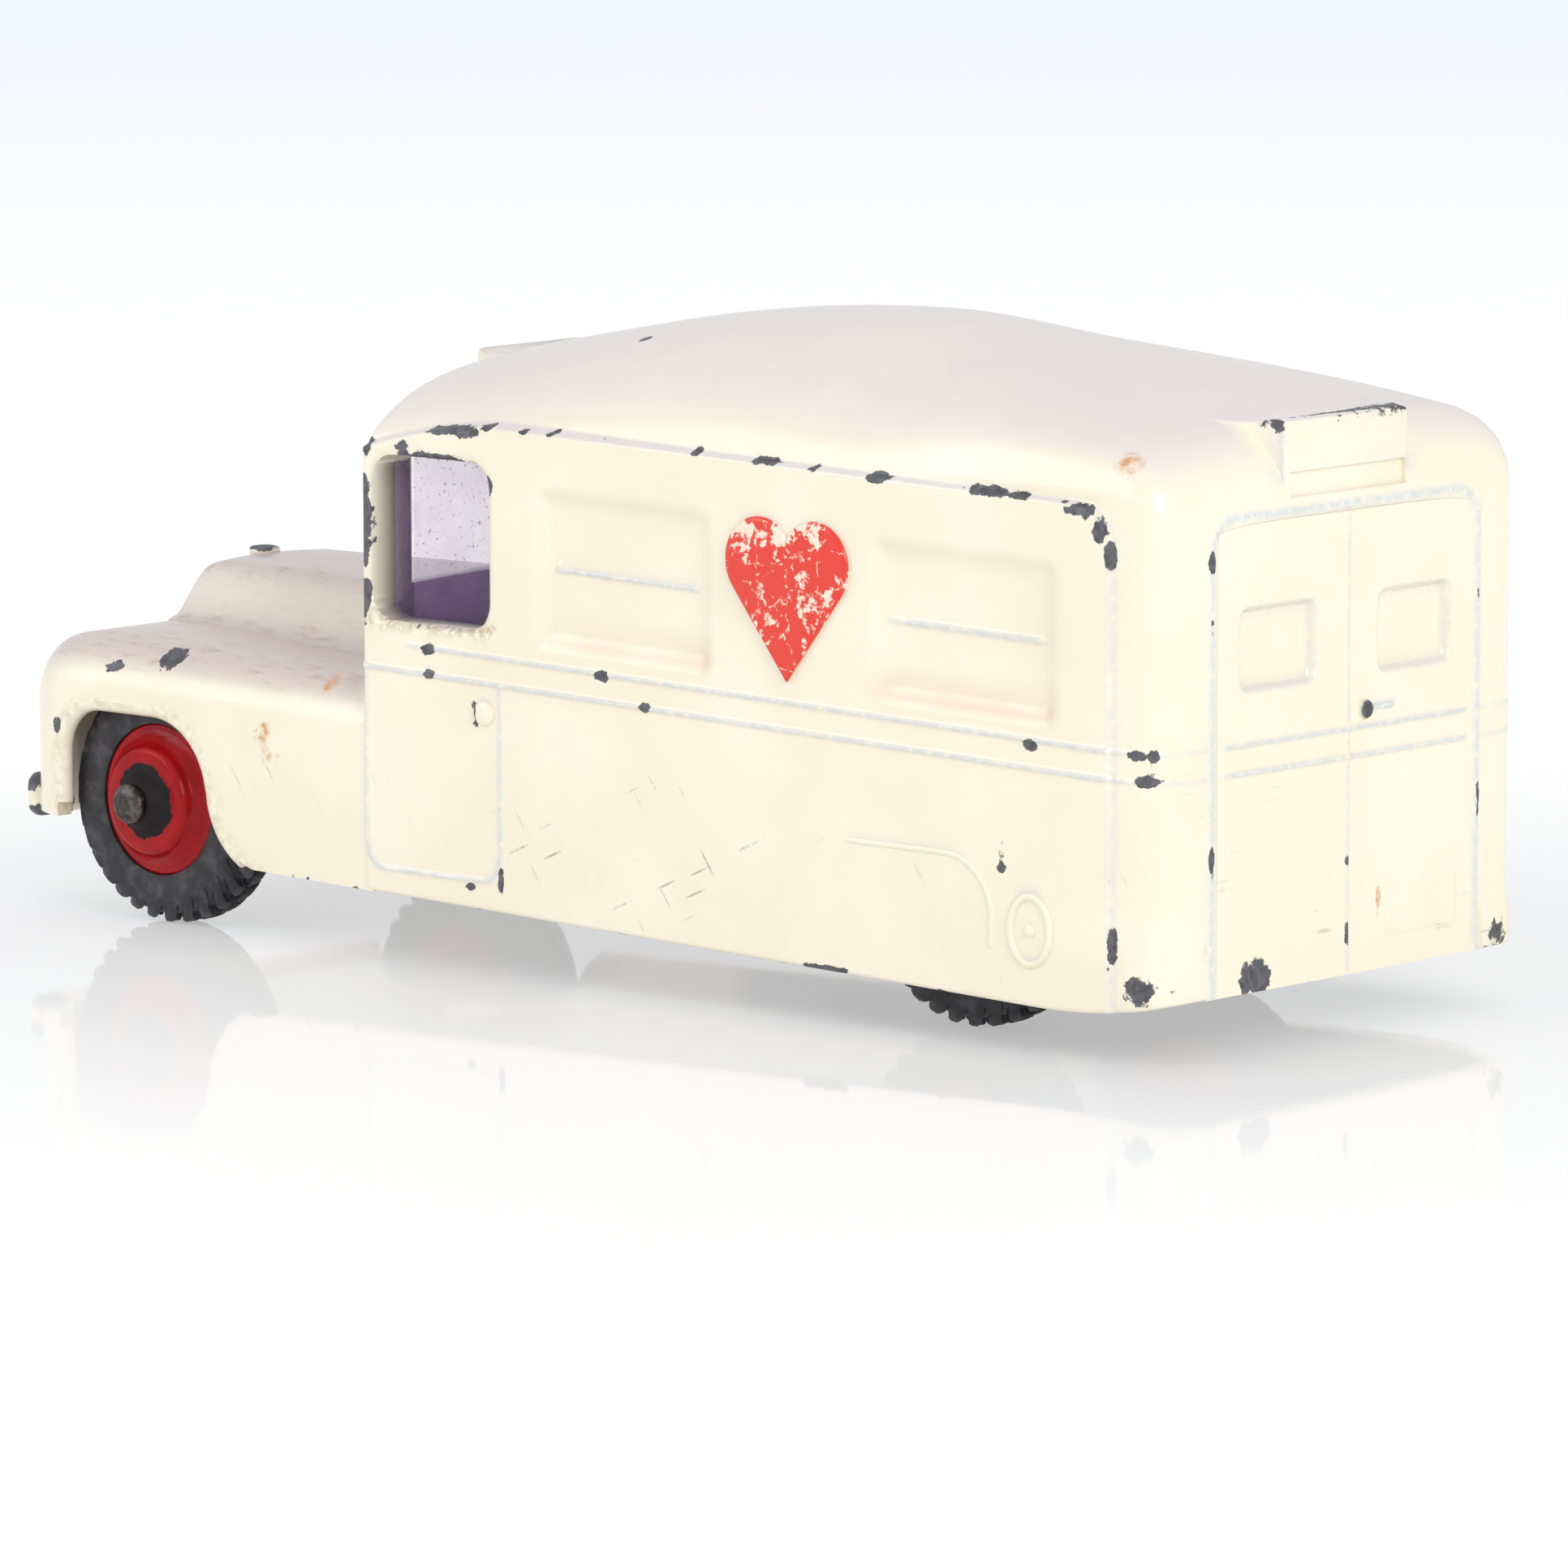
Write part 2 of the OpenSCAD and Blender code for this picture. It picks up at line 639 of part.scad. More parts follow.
module sign_boxes() {
  translate([cab_x + sign_inset, -sign_w / 2, screen_top_z + wall])
    cube([sign_front_l, sign_w, sign_top_z - screen_top_z - wall]);
  translate([rear_x - sign_inset - sign_rear_l, -sign_w / 2, rear_door_top_z - rear_rim_w])
    cube([sign_rear_l, sign_w, sign_top_z - rear_door_top_z + rear_rim_w]);
}
module bumper() {
  edge = [for (i = [-8:8]) let (y = bumper_half * i / 8) [front_x + bumper_sweep * pow(i / 8, 4), y]];
  translate([0, 0, bumper_z]) linear_extrude(bumper_h)
    polygon(concat(edge, [for (i = [len(edge) - 1:-1:0]) edge[i] + [bumper_t, 0]]));
}
module grille() {
  pitch = grille_w / (grille_bars + 1);
  difference() {
    translate([grille_x, -grille_w / 2, grille_z]) rotate([90, 0, 90]) linear_extrude(grille_depth + wall)
      round_rect(grille_w, grille_top_z - grille_z, grille_w / 4);
    for (i = [1:grille_bars])
      translate([grille_x - over, i * pitch - (grille_w + grille_slot_w) / 2, grille_z + grille_w / 8])
        cube([over + grille_slot_depth, grille_slot_w, grille_top_z - grille_z - grille_w / 4]);
  }
}
module headlamps() {
  for (side = [-1, 1]) translate([nose_x + lamp_h, side * lamp_y, lamp_z]) rotate([0, -90, 0]) {
    translate([0, 0, -2 * lamp_h]) cylinder(h = 3 * lamp_h - lamp_h / 4, d = lamp_d);
    cylinder(h = lamp_h + lamp_h / 4, d1 = lamp_d, d2 = lamp_d - lamp_h);
  }
}

// Openings cut through the casting
module throat() {
  translate([front_x - over, -throat_half, grille_z + wall])
    cube([throat_x - front_x + over, 2 * throat_half, roof_z]);
}
module cab_windows() {
  for (side = [0, 1]) mirror([0, side, 0])
    translate([window_x, over - shell_half + wall, window_sill_z]) rotate([90, 0, 0])
      linear_extrude(wall + 2 * over + ledge_step) round_rect(window_l, window_h, window_r);
  for (side = [0, 1]) mirror([0, side, 0])
    translate([cab_x - over, screen_post / 2, screen_sill_z]) rotate([90, 0, 90])
      linear_extrude(cab_bow + wall + over)
        round_rect(screen_half - screen_post / 2, screen_h, min(window_r, screen_h / 3));
}
module arch_outline() {
  foot_z = -over - axle_z;
  heel_z = sill(front_axle_x + arch_heel_l) + arch_heel_r - arch_lap - axle_z;
  hull() {
    translate([arch_corner_r - arch_front_l, arch_top - arch_corner_r]) circle(arch_corner_r, $fn = 40);
    translate([arch_heel_l - arch_heel_r - arch_main_r, arch_top - arch_main_r])
      circle(arch_main_r, $fn = 40);
    translate([-arch_front_l, foot_z]) square([arch_front_l + arch_heel_l - arch_heel_r, over]);
  }
  difference() {
    translate([0, foot_z]) square([arch_heel_l, heel_z - foot_z]);
    translate([arch_heel_l, heel_z]) circle(arch_heel_r, $fn = 48);
  }
}
module wheel_arches() {
  for (side = [0, 1]) mirror([0, side, 0])
    translate([front_axle_x, -front_inner_y, axle_z]) rotate([90, 0, 0])
      linear_extrude(half_w) arch_outline();
}
module wheel_wells() {
  for (side = [0, 1]) mirror([0, side, 0])
    translate([front_axle_x, -front_rib_y, axle_z]) rotate([90, 0, 0])
      cylinder(h = front_inner_y + tyre_w + well_side_gap - front_rib_y, r = tyre_r + well_gap / 2, $fn = 64);
}

// Walls inside the casting that carry the axles, and the posts for baseplate and glazing
module inner_walls() {
  well_r = tyre_r + well_gap;
  intersection() {
    nose_skin(wall / 2);
    union() {
      for (side = [0, 1]) mirror([0, side, 0])
        translate([front_axle_x - well_r, -front_rib_y, plate_top])
          cube([2 * well_r, rib_t, bonnet_z - plate_top]);
      translate([front_post_x, 0, plate_top]) cylinder(h = bonnet_z - plate_top, d = post_d);
    }
  }
  for (side = [0, 1]) mirror([0, side, 0]) {
    difference() {
      translate([rear_axle_x - well_r - rib_t, wall / 2 - shell_half, plate_top])
        cube([2 * (well_r + rib_t), shell_half - wall / 2 - rear_rib_y + rib_t,
          well_top_z + rib_t - plate_top]);
      translate([rear_axle_x - well_r, -shell_half - over, plate_top - over])
        cube([2 * well_r, shell_half + over - rear_rib_y, well_top_z - plate_top + over]);
    }
  }
  translate([rear_post_x, 0, plate_top]) {
    cylinder(h = rear_post_h, d = post_d);
    translate([0, -post_d / 2, 0]) cube([rear_x - wall / 2 - rear_post_x, post_d, rear_post_h]);
  }
  translate([glass_peg_x, 0, glass_top_z])
    cylinder(h = ridge(glass_peg_x) - wall / 2 - glass_top_z, d = glass_peg_d + wall);
}
module axle_slots() {
  for (x = [front_axle_x, rear_axle_x]) {
    translate([x, 0, axle_z]) rotate([90, 0, 0])
      cylinder(h = body_w - 4 * wall, r = axle_r + axle_gap, center = true, $fn = 48);
    translate([x - axle_r - axle_gap, wall * 2 - half_w, 0])
      cube([2 * (axle_r + axle_gap), body_w - 4 * wall, axle_z]);
  }
}
module stakes() {
  for (x = [front_post_x, rear_post_x]) translate([x, 0, plate_bottom - spigot_head_h]) {
    cylinder(h = spigot_head_h, d1 = spigot_head_d - spigot_head_h, d2 = spigot_head_d);
    cylinder(h = spigot_head_h + plate_t + wall, d = spigot_d);
  }
  translate([glass_peg_x, 0, glass_top_z - glass_t - glass_peg_head_h]) {
    cylinder(h = glass_peg_head_h, d1 = glass_peg_head_d - glass_peg_head_h, d2 = glass_peg_head_d);
    cylinder(h = glass_peg_head_h + glass_t + wall, d = glass_peg_d);
  }
}

// The one-piece body casting
module body_casting() {
  color("#f6efd6") {
    difference() {
      union() {
        difference() {
          union() {
            difference() {
              union() {
                van_skin();
                nose_skin();
                on_sides(0, wall) side_panel_outline();
              }
              side_pockets();
              rear_pockets();
              throat();
            }
            belt();
            side_trim();
            rear_trim();
            rear_buffers();
            sign_boxes();
            grille();
            headlamps();
            bumper();
            translate([cap_x, 0, bonnet_z - cap_h]) cylinder(h = 2 * cap_h, d1 = cap_d, d2 = cap_d - cap_h);
          }
          cavities();
          cab_windows();
          wheel_arches();
          wheel_wells();
        }
        inner_walls();
      }
      axle_slots();
    }
    stakes();
  }
}

// Pressed baseplate, cut out round the wheels
module baseplate() {
  inner_half = shell_half - wall - plate_gap;
  well_r = tyre_r + well_gap + rib_t;
  front_end = nose_x + wing_round / 2 + wall;
  color("silver") translate([0, 0, plate_bottom]) linear_extrude(plate_t) difference() {
    union() {
      translate([front_end, -front_rib_y])
        square([front_axle_x + well_r - front_end + wall, 2 * front_rib_y]);
      translate([front_axle_x + well_r, -inner_half])
        square([rear_axle_x - front_axle_x - 2 * well_r, 2 * inner_half]);
      translate([rear_axle_x - well_r - wall, -rear_rib_y]) square([2 * (well_r + wall), 2 * rear_rib_y]);
      translate([rear_axle_x + well_r, -inner_half])
        square([crease_x - wall - rear_axle_x - well_r, 2 * inner_half]);
      translate([crease_x - 2 * wall, wall - door_half])
        square([rear_x - wall - plate_gap - crease_x + 2 * wall, 2 * (door_half - wall)]);
    }
    for (x = [front_post_x, rear_post_x]) translate([x, 0]) circle(d = spigot_d + seat_gap);
  }
}

// Clear moulding behind the cab's windows, hung from a staked peg by its top flange
module glass_outline(inset) {
  edge_half = shell_half - wall - seat_gap - inset;
  edge = [for (i = [-8:8]) [cab_edge(i / 8) + wall + seat_gap + inset, edge_half * i / 8]];
  polygon(concat(edge, [[glass_back_x, edge_half], [glass_back_x, -edge_half]]));
}
module window_glazing() {
  foot_z = window_sill_z - glass_lap;
  color("#d9c8ee", 0.5) difference() {
    translate([0, 0, foot_z]) linear_extrude(glass_top_z - foot_z) glass_outline(0);
    translate([0, 0, foot_z - over]) linear_extrude(glass_top_z - glass_t - foot_z + over)
      glass_outline(glass_t);
    translate([glass_back_x - glass_t, glass_t - shell_half + wall + seat_gap, foot_z - over])
      cube([2 * glass_t, 2 * (shell_half - wall - seat_gap - glass_t),
        glass_top_z - glass_t - foot_z + over]);
    translate([glass_peg_x, 0, glass_top_z - glass_t - over])
      cylinder(h = glass_t + 2 * over, d = glass_peg_d + seat_gap);
  }
}

// Steel axle with a headed end outside each wheel
module axle(x, inner_y) {
  end_y = inner_y + nave_a + wheel_float;
  color("dimgray") translate([x, 0, axle_z]) rotate([90, 0, 0]) rotate_extrude($fn = 48)
    polygon([[0, -end_y - head_l], [head_r - head_dome, -end_y - head_l],
      [head_r, -end_y - head_l + head_dome],
      [head_r, -end_y], [axle_r, -end_y], [axle_r, end_y], [head_r, end_y],
      [head_r, end_y + head_l - head_dome], [head_r - head_dome, end_y + head_l], [0, end_y + head_l]]);
}
module front_axle() { axle(front_axle_x, front_inner_y); }
module rear_axle() { axle(rear_axle_x, rear_inner_y); }

// Places a wheel piece with its own Z pointing outwards along the axle
module at_wheel(x, inner_y, side) {
  translate([x, side * inner_y, axle_z]) rotate([-90 * side, 0, 0]) children();
}

// Cast hub: two flanges that hold the tyre, a raised face and a conical nave
module hub() {
  bore = axle_r + axle_gap;
  seat_r = hub_r - flange_h;
  color("#b5121b") rotate_extrude($fn = 64) polygon([
    [bore, -hub_boss_l], [hub_boss_r, -hub_boss_l], [hub_boss_r, hub_inset], [hub_r, hub_inset],
    [hub_r, hub_inset + flange_t], [seat_r, hub_inset + flange_t], [seat_r, rim_a - flange_t],
    [hub_r, rim_a - flange_t], [hub_r, rim_a - hub_edge / 2], [hub_r - hub_edge / 2, rim_a],
    [hub_face_r + hub_edge, rim_a + hub_cone_rise], [hub_face_r, face_a - hub_edge],
    [hub_face_r - hub_edge, face_a], [nave_r, face_a], [nave_top_r, nave_a], [bore, nave_a]]);
}

// Rubber tyre with slanted lugs on both shoulders
module tyre() {
  grip = hub_r + tyre_grip;
  seat_r = hub_r - flange_h + tyre_grip;
  seat_lo = hub_inset + flange_t + tyre_grip;
  seat_hi = rim_a - flange_t - tyre_grip;
  crown_r = tyre_r;
  side_share = 0.55;
  side_r = mix(grip, crown_r, side_share);
  edge_share = 0.86;
  edge_r = mix(grip, crown_r, edge_share);
  edge_in_share = 0.08;
  edge_in = edge_in_share * tyre_w;
  tread_in_share = 0.26;
  tread_in = tread_in_share * tyre_w;
  color("#26262a") difference() {
    rotate_extrude($fn = 64) polygon([
      [seat_r, seat_lo], [grip, seat_lo], [grip, hub_inset / 2], [grip + hub_edge, hub_inset / 4],
      [side_r, 0], [edge_r, edge_in], [crown_r, tread_in], [crown_r, tyre_w - tread_in],
      [edge_r, tyre_w - edge_in], [side_r, tyre_w], [grip + hub_edge, tyre_w - hub_inset / 4],
      [grip, tyre_w - hub_inset / 2],
      [grip, seat_hi], [seat_r, seat_hi]]);
    for (i = [0:lug_count - 1], end = [0, 1])
      rotate([0, 0, 360 * (i + end / 2) / lug_count])
        translate([crown_r - lug_depth, 0, end == 0 ? 0 : tyre_w])
          rotate([lug_slant, 0, 0])
            translate([0, -lug_w / 2, end == 0 ? -over : -tyre_w / 3])
              cube([2 * lug_depth, lug_w, tyre_w / 3 + over]);
  }
}
module front_left_hub() { at_wheel(front_axle_x, front_inner_y, -1) hub(); }
module front_right_hub() { at_wheel(front_axle_x, front_inner_y, 1) hub(); }
module rear_left_hub() { at_wheel(rear_axle_x, rear_inner_y, -1) hub(); }
module rear_right_hub() { at_wheel(rear_axle_x, rear_inner_y, 1) hub(); }
module front_left_tyre() { at_wheel(front_axle_x, front_inner_y, -1) tyre(); }
module front_right_tyre() { at_wheel(front_axle_x, front_inner_y, 1) tyre(); }
module rear_left_tyre() { at_wheel(rear_axle_x, rear_inner_y, -1) tyre(); }
module rear_right_tyre() { at_wheel(rear_axle_x, rear_inner_y, 1) tyre(); }

body_casting();
baseplate();
window_glazing();
front_axle();
rear_axle();
front_left_hub();
front_right_hub();
rear_left_hub();
rear_right_hub();
front_left_tyre();
front_right_tyre();
rear_left_tyre();
rear_right_tyre();
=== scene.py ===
import math
import bmesh
import bpy
import numpy as np
from mathutils import Matrix, Vector


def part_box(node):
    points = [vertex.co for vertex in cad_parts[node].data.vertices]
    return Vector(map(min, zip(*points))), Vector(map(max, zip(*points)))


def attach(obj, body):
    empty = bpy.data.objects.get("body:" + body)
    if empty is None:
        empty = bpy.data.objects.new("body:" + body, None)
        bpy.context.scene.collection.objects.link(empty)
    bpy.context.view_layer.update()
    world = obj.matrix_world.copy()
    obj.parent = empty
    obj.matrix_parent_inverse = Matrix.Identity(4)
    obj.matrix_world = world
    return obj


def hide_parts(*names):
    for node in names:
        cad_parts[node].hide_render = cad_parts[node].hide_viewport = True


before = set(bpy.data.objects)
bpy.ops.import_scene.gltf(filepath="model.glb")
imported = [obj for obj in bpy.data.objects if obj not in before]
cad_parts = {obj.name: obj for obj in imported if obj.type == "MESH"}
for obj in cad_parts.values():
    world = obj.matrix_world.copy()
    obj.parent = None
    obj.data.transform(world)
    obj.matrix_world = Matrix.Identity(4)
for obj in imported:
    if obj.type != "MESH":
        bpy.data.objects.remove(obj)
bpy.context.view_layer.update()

mm = 0.001                                  # meshes are worked out in millimetres


def boxOf(node):
    low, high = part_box(node)
    return np.array(low) / mm, np.array(high) / mm


# curve helpers
def quarter(t, power):
    return np.clip(1 - np.clip(t, 0, None) ** power, 0, None) ** (1 / power)


def ease(t):
    t = np.clip(t, 0, 1)
    return t * t * (3 - 2 * t)


def lerp(first, second, t):
    return first + (second - first) * t


def bead(distance, width):                  # round bead across a line
    return 0.5 + 0.5 * np.cos(np.pi * np.clip(np.abs(distance) * 2 / width, 0, 1))


def within(distance, width):                # 1 inside an edge, 0 outside it
    return ease(0.5 - distance / width)


def arcDrop(distance, radius):              # how far a rounded edge falls away
    near = np.clip(radius - distance, 0, radius)
    return radius - np.sqrt(np.maximum(radius ** 2 - near ** 2, 0))


def cornerDistance(overA, overB, radius):   # to a rounded corner, from the distances past its two centres
    return (np.hypot(np.maximum(overA, 0), np.maximum(overB, 0))
            + np.minimum(np.maximum(overA, overB), 0) - radius)


def boxDistance(a, b, low, high, radius):
    overA = np.abs(a - (low[0] + high[0]) / 2) - (high[0] - low[0]) / 2 + radius
    overB = np.abs(b - (low[1] + high[1]) / 2) - (high[1] - low[1]) / 2 + radius
    return cornerDistance(overA, overB, radius)


def graded(start, end, step, marks):        # stations that crowd round the marks (place, reach, step)
    fine = np.linspace(start, end, 6000)
    density = np.full_like(fine, 1 / step)
    for place, reach, small in marks:
        density = np.maximum(density, ease(1.5 - np.abs(fine - place) / reach) / small)
    total = np.concatenate([[0], np.cumsum((density[1:] + density[:-1]) / 2 * np.diff(fine))])
    return np.interp(np.linspace(0, total[-1], round(total[-1]) + 1), total, fine)


# mesh helpers
def makeObject(name, points, faces):
    mesh = bpy.data.meshes.new(name)
    mesh.from_pydata((np.asarray(points) * mm).tolist(), [], faces)
    mesh.validate()
    work = bmesh.new()
    work.from_mesh(mesh)
    bmesh.ops.remove_doubles(work, verts=work.verts, dist=1e-8)
    bmesh.ops.recalc_face_normals(work, faces=work.faces)
    work.to_mesh(mesh)
    work.free()
    made = bpy.data.objects.new(name, mesh)
    bpy.context.collection.objects.link(made)
    return made


def gridFaces(rows, cols, wrap=False, loop=False):
    lastRow, lastCol = (rows if loop else rows - 1), (cols if wrap else cols - 1)
    return [(i * cols + j, i * cols + (j + 1) % cols,
             (i + 1) % rows * cols + (j + 1) % cols, (i + 1) % rows * cols + j)
            for i in range(lastRow) for j in range(lastCol)]


class Build:                                # closed shells gathered into one mesh
    def __init__(self):
        self.points, self.faces, self.count = [], [], 0

    def add(self, points, faces):
        self.points.append(np.asarray(points, float).reshape(-1, 3))
        self.faces += [tuple(index + self.count for index in face) for face in faces]
        self.count += len(self.points[-1])

    def stack(self, rings):                 # rings of equal count, capped at both ends
        rings = np.asarray(rings, float)
        count, size = rings.shape[:2]
        self.add(rings, gridFaces(count, size, True)
                 + [tuple(range(size)), tuple((count - 1) * size + j for j in reversed(range(size)))])

    def loop(self, rings):                  # rings that close on themselves
        self.add(rings, gridFaces(len(rings), len(rings[0]), True, True))

    def box(self, low, high):
        flat = [[low[0], low[1]], [high[0], low[1]], [high[0], high[1]], [low[0], high[1]]]
        self.stack([[[a, b, z] for a, b in flat] for z in (low[2], high[2])])

    def mirrored(self):                     # the same again on the other side
        self.add(np.concatenate(self.points) * [1, -1, 1], [face[::-1] for face in self.faces])
        return self

    def made(self, name):
        return makeObject(name, np.concatenate(self.points), self.faces)


def plainMesh(item):                        # modifiers into the mesh
    graph = bpy.context.evaluated_depsgraph_get()
    mesh = bpy.data.meshes.new_from_object(item.evaluated_get(graph), preserve_all_data_layers=True,
                                           depsgraph=graph)
    old = item.data
    item.modifiers.clear()
    item.data = mesh
    bpy.data.meshes.remove(old)


def combine(item, tool, operation):
    step = item.modifiers.new("combine", "BOOLEAN")
    step.operation, step.solver, step.object = operation, "MANIFOLD", tool
    plainMesh(item)
    bpy.data.objects.remove(tool)
    if len(item.data.polygons) == 0:
        raise RuntimeError("the " + operation.lower() + " left nothing")


def finishPiece(item, angle, node, rider):  # smooth but for its sharp edges, in place of a CAD node
    item.data.polygons.foreach_set("use_smooth", [True] * len(item.data.polygons))
    item.data.set_sharp_from_angle(angle=math.radians(angle))
    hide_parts(node)
    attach(item, rider)


def pointsOf(item, field="co"):
    flat = np.zeros(len(item.data.vertices) * 3)
    item.data.vertices.foreach_get(field, flat)
    return flat.reshape(-1, 3).T


def writeAttribute(item, name, values):
    layer = item.data.attributes.new(name, "FLOAT", "POINT")
    layer.data.foreach_set("value", np.asarray(values, np.float32))


def arcPoints(centre, radius, start, end, count):
    turn = np.radians(np.linspace(start, end, count))
    return [[centre[0] + radius * math.cos(a), centre[1] + radius * math.sin(a)] for a in turn]


def roundOutline(low, high, radius, steps=6):
    points = []
    for turn in (0, 90, 180, 270):
        a = low[0] + radius if turn in (90, 180) else high[0] - radius
        b = low[1] + radius if turn in (180, 270) else high[1] - radius
        points += arcPoints((a, b), radius, turn, turn + 90, steps + 1)
    return np.array(points)


def circle(count):                          # cosines and sines once round
    turn = np.linspace(0, 2 * np.pi, count, endpoint=False)[:, None]
    return np.cos(turn), np.sin(turn)


def lathe(build, profile, place, axis, count=48):  # profile of (radius, distance along the axis)
    cosine, sine = circle(count)
    along = np.asarray(axis, float)
    across = np.cross(along, [0.3, 0.5, 0.8])
    across /= np.linalg.norm(across)
    up = np.cross(along, across)
    build.stack([np.asarray(place) + along * far + radius * (cosine * across + sine * up)
                 for radius, far in profile])


def turnedLoop(profile, x, inner, side, z, count=96):  # closed profile of (radius, distance) round Y
    cosine, sine = circle(count)
    build = Build()
    build.loop([np.hstack([x + radius * cosine, np.full_like(sine, side * (inner + far)), z + radius * sine])
                for radius, far in profile])
    return build


def tube(build, path, radius, side, count=12):  # round rod along a path that lies across the side vector
    path, side = np.asarray(path, float), np.asarray(side, float)
    out = np.cross(np.gradient(path, axis=0), side)
    out /= np.linalg.norm(out, axis=1)[:, None]
    cosine, sine = circle(count)
    build.stack([p + radius * (cosine * o + sine * side) for p, o in zip(path, out)])


# the van: sizes in millimetres, tied to the CAD nodes' boxes
bodyLow, bodyHigh = boxOf("body_casting")
axleLow, axleHigh = boxOf("front_axle")
backLow, backHigh = boxOf("rear_axle")
tyreLow, tyreHigh = boxOf("front_left_tyre")
van = {"wall": 1.3, "fall": 0.027, "sillLift": 3.95, "sillFade": 6, "tailRise": 1.1, "tailRiseL": 9,
       "cabSetback": 31.9, "cabBow": 2.2, "bowL": 12, "cornerL": 3.4, "cornerW": 4.45, "cornerPower": 3.57,
       "ledgeStep": 0.4, "roofRise": 7.15, "doorDrop": 1.65, "frontDrop": 4.83, "frontBend": 2.09,
       "rearDrop": 4.9, "rearBend": 1.3, "crown": 0.478, "domeL": 3.5, "domePower": 2.06, "roofPower": 2.15,
       "endPower": 4.6, "endL": 26, "roofEdge": 1.8, "pillarEdge": 0.7, "dip": 2.3, "dipL": 11.6,
       "dipPower": 1.6, "heartRise": 0.35, "knobRise": 0.45, "beltLift": 17.97, "beltPitch": 1.65,
       "beltRise": 0.17, "beltW": 0.52, "beltTaper": 0.8, "cornerBelt": 0.4, "lineRise": 0.13, "lineW": 0.5,
       "softW": 0.3, "panelR": 2.6, "panelBack": 0.2, "pocketDepth": 0.6, "pocketR": 1.2, "bevel": 1.3,
       "sillEdge": 0.35, "rearBeltHalf": 11.2, "rearBeltTaper": 0.6, "rearCrown": 0.1}
halfW = bodyHigh[1] - van["heartRise"]
shellHalf = halfW - van["ledgeStep"]
frontX, rearX = bodyLow[0], bodyHigh[0] - van["knobRise"]
roofZ = bodyHigh[2]
frontAxleX, rearAxleX = (axleLow[0] + axleHigh[0]) / 2, (backLow[0] + backHigh[0]) / 2
axleZ = (axleLow[2] + axleHigh[2]) / 2
tyreR = (tyreHigh[2] - tyreLow[2]) / 2
creaseX, domeX = rearX - van["cornerL"], rearX - van["domeL"]
doorHalf = halfW - van["cornerW"]
pillarX = frontX + van["cabSetback"]
crownX = lerp(pillarX, rearX, van["crown"])
ledgeZ = roofZ - van["roofRise"]
rearTopZ = ledgeZ - van["doorDrop"]
beltZ = van["beltLift"]


def drop(x):
    return -van["fall"] * x


def sillAt(x):
    return (van["sillLift"] + drop(x)
            + van["tailRise"] * np.clip((x - rearX + van["tailRiseL"]) / van["tailRiseL"], 0, 1) ** 2)


def ledgeAt(x):
    reach = np.clip((pillarX + van["dipL"] - x) / van["dipL"], 0, None)
    return ledgeZ + drop(x) - van["dip"] * reach ** van["dipPower"]


def ridgeAt(x):
    line = (roofZ - van["frontDrop"] * np.clip((crownX - x) / (crownX - pillarX), 0, None) ** van["frontBend"]
            - van["rearDrop"] * np.clip((x - crownX) / (rearX - crownX), 0, None) ** van["rearBend"])
    return lerp(rearTopZ, line, quarter((x - domeX) / van["domeL"], van["domePower"]))


def shoulderAt(x):
    return np.minimum(ledgeAt(x) - van["ledgeStep"], rearTopZ - van["ledgeStep"]
                      - van["tailRise"] * ease((x - domeX) / van["domeL"]))


# features on the sides, in x and in height along the falling body lines
window = {"low": (pillarX + 0.8, 21.3), "high": (pillarX + 10.8, 31.5), "radius": 1.7, "edge": 0.5}
door = {"low": (pillarX + 0.55, 5.5), "high": (pillarX + 11.9, 30), "radius": 1.6}
pockets = [{"low": (pillarX + 14.6, 20.4), "high": (pillarX + 29.4, 30.6)},
           {"low": (rearX - 22.0, 20.3), "high": (rearX - 7.4, 30.4)}]
pocketBar = {"half": 5.8, "rise": 0.2, "width": 0.6}
belts = [{"height": beltZ, "start": pillarX - 0.6},
         {"height": beltZ + van["beltPitch"], "start": pillarX + 4.0}]
rearWindow = {"low": (2.8, 21.3), "high": (9.9, 26.4), "radius": 0.9, "depth": 0.55, "edge": 0.42,
              "rowLift": 0.67}
plateFrame = {"low": (3.5, 5.8), "high": (10.2, 9.0), "radius": 0.3, "rise": 0.1, "lineW": 0.45}
cornerPad = {"high": 2.9, "edge": 0.35, "start": 0.4, "rise": 0.22}    # low on the rear corners
doorRim = {"steps": (0.1, 0.25, 0.4, 0.55, 0.7, 0.85, 1.0, 1.12), "middle": 0.5, "width": 0.8, "rise": 0.1}


def panelDistance(x, z):                    # to the flat side panel's top edge and rear top corner
    radius = van["panelR"]
    return cornerDistance(x - creaseX + van["panelBack"] + radius, z - ledgeAt(x) + radius, radius)


def doorDistance(x, z):
    return boxDistance(x, z - drop(pillarX), door["low"], door["high"], door["radius"])


def pocketDistance(pocket, x, height):
    return boxDistance(x, height, pocket["low"], pocket["high"], van["pocketR"])


def barDistance(pocket, x, height):         # past the end of a pocket's middle bar, and across it
    along = np.abs(x - (pocket["low"][0] + pocket["high"][0]) / 2) - pocketBar["half"]
    return along, height - (pocket["low"][1] + pocket["high"][1]) / 2


def rearWindowDistance(y, z):
    return boxDistance(np.abs(y), z, rearWindow["low"], rearWindow["high"], rearWindow["radius"])


def beltRelief(x, z):
    return sum(bead(z - drop(x) - belt["height"], van["beltW"])
               * ease((x - belt["start"]) / van["beltTaper"]) for belt in belts)


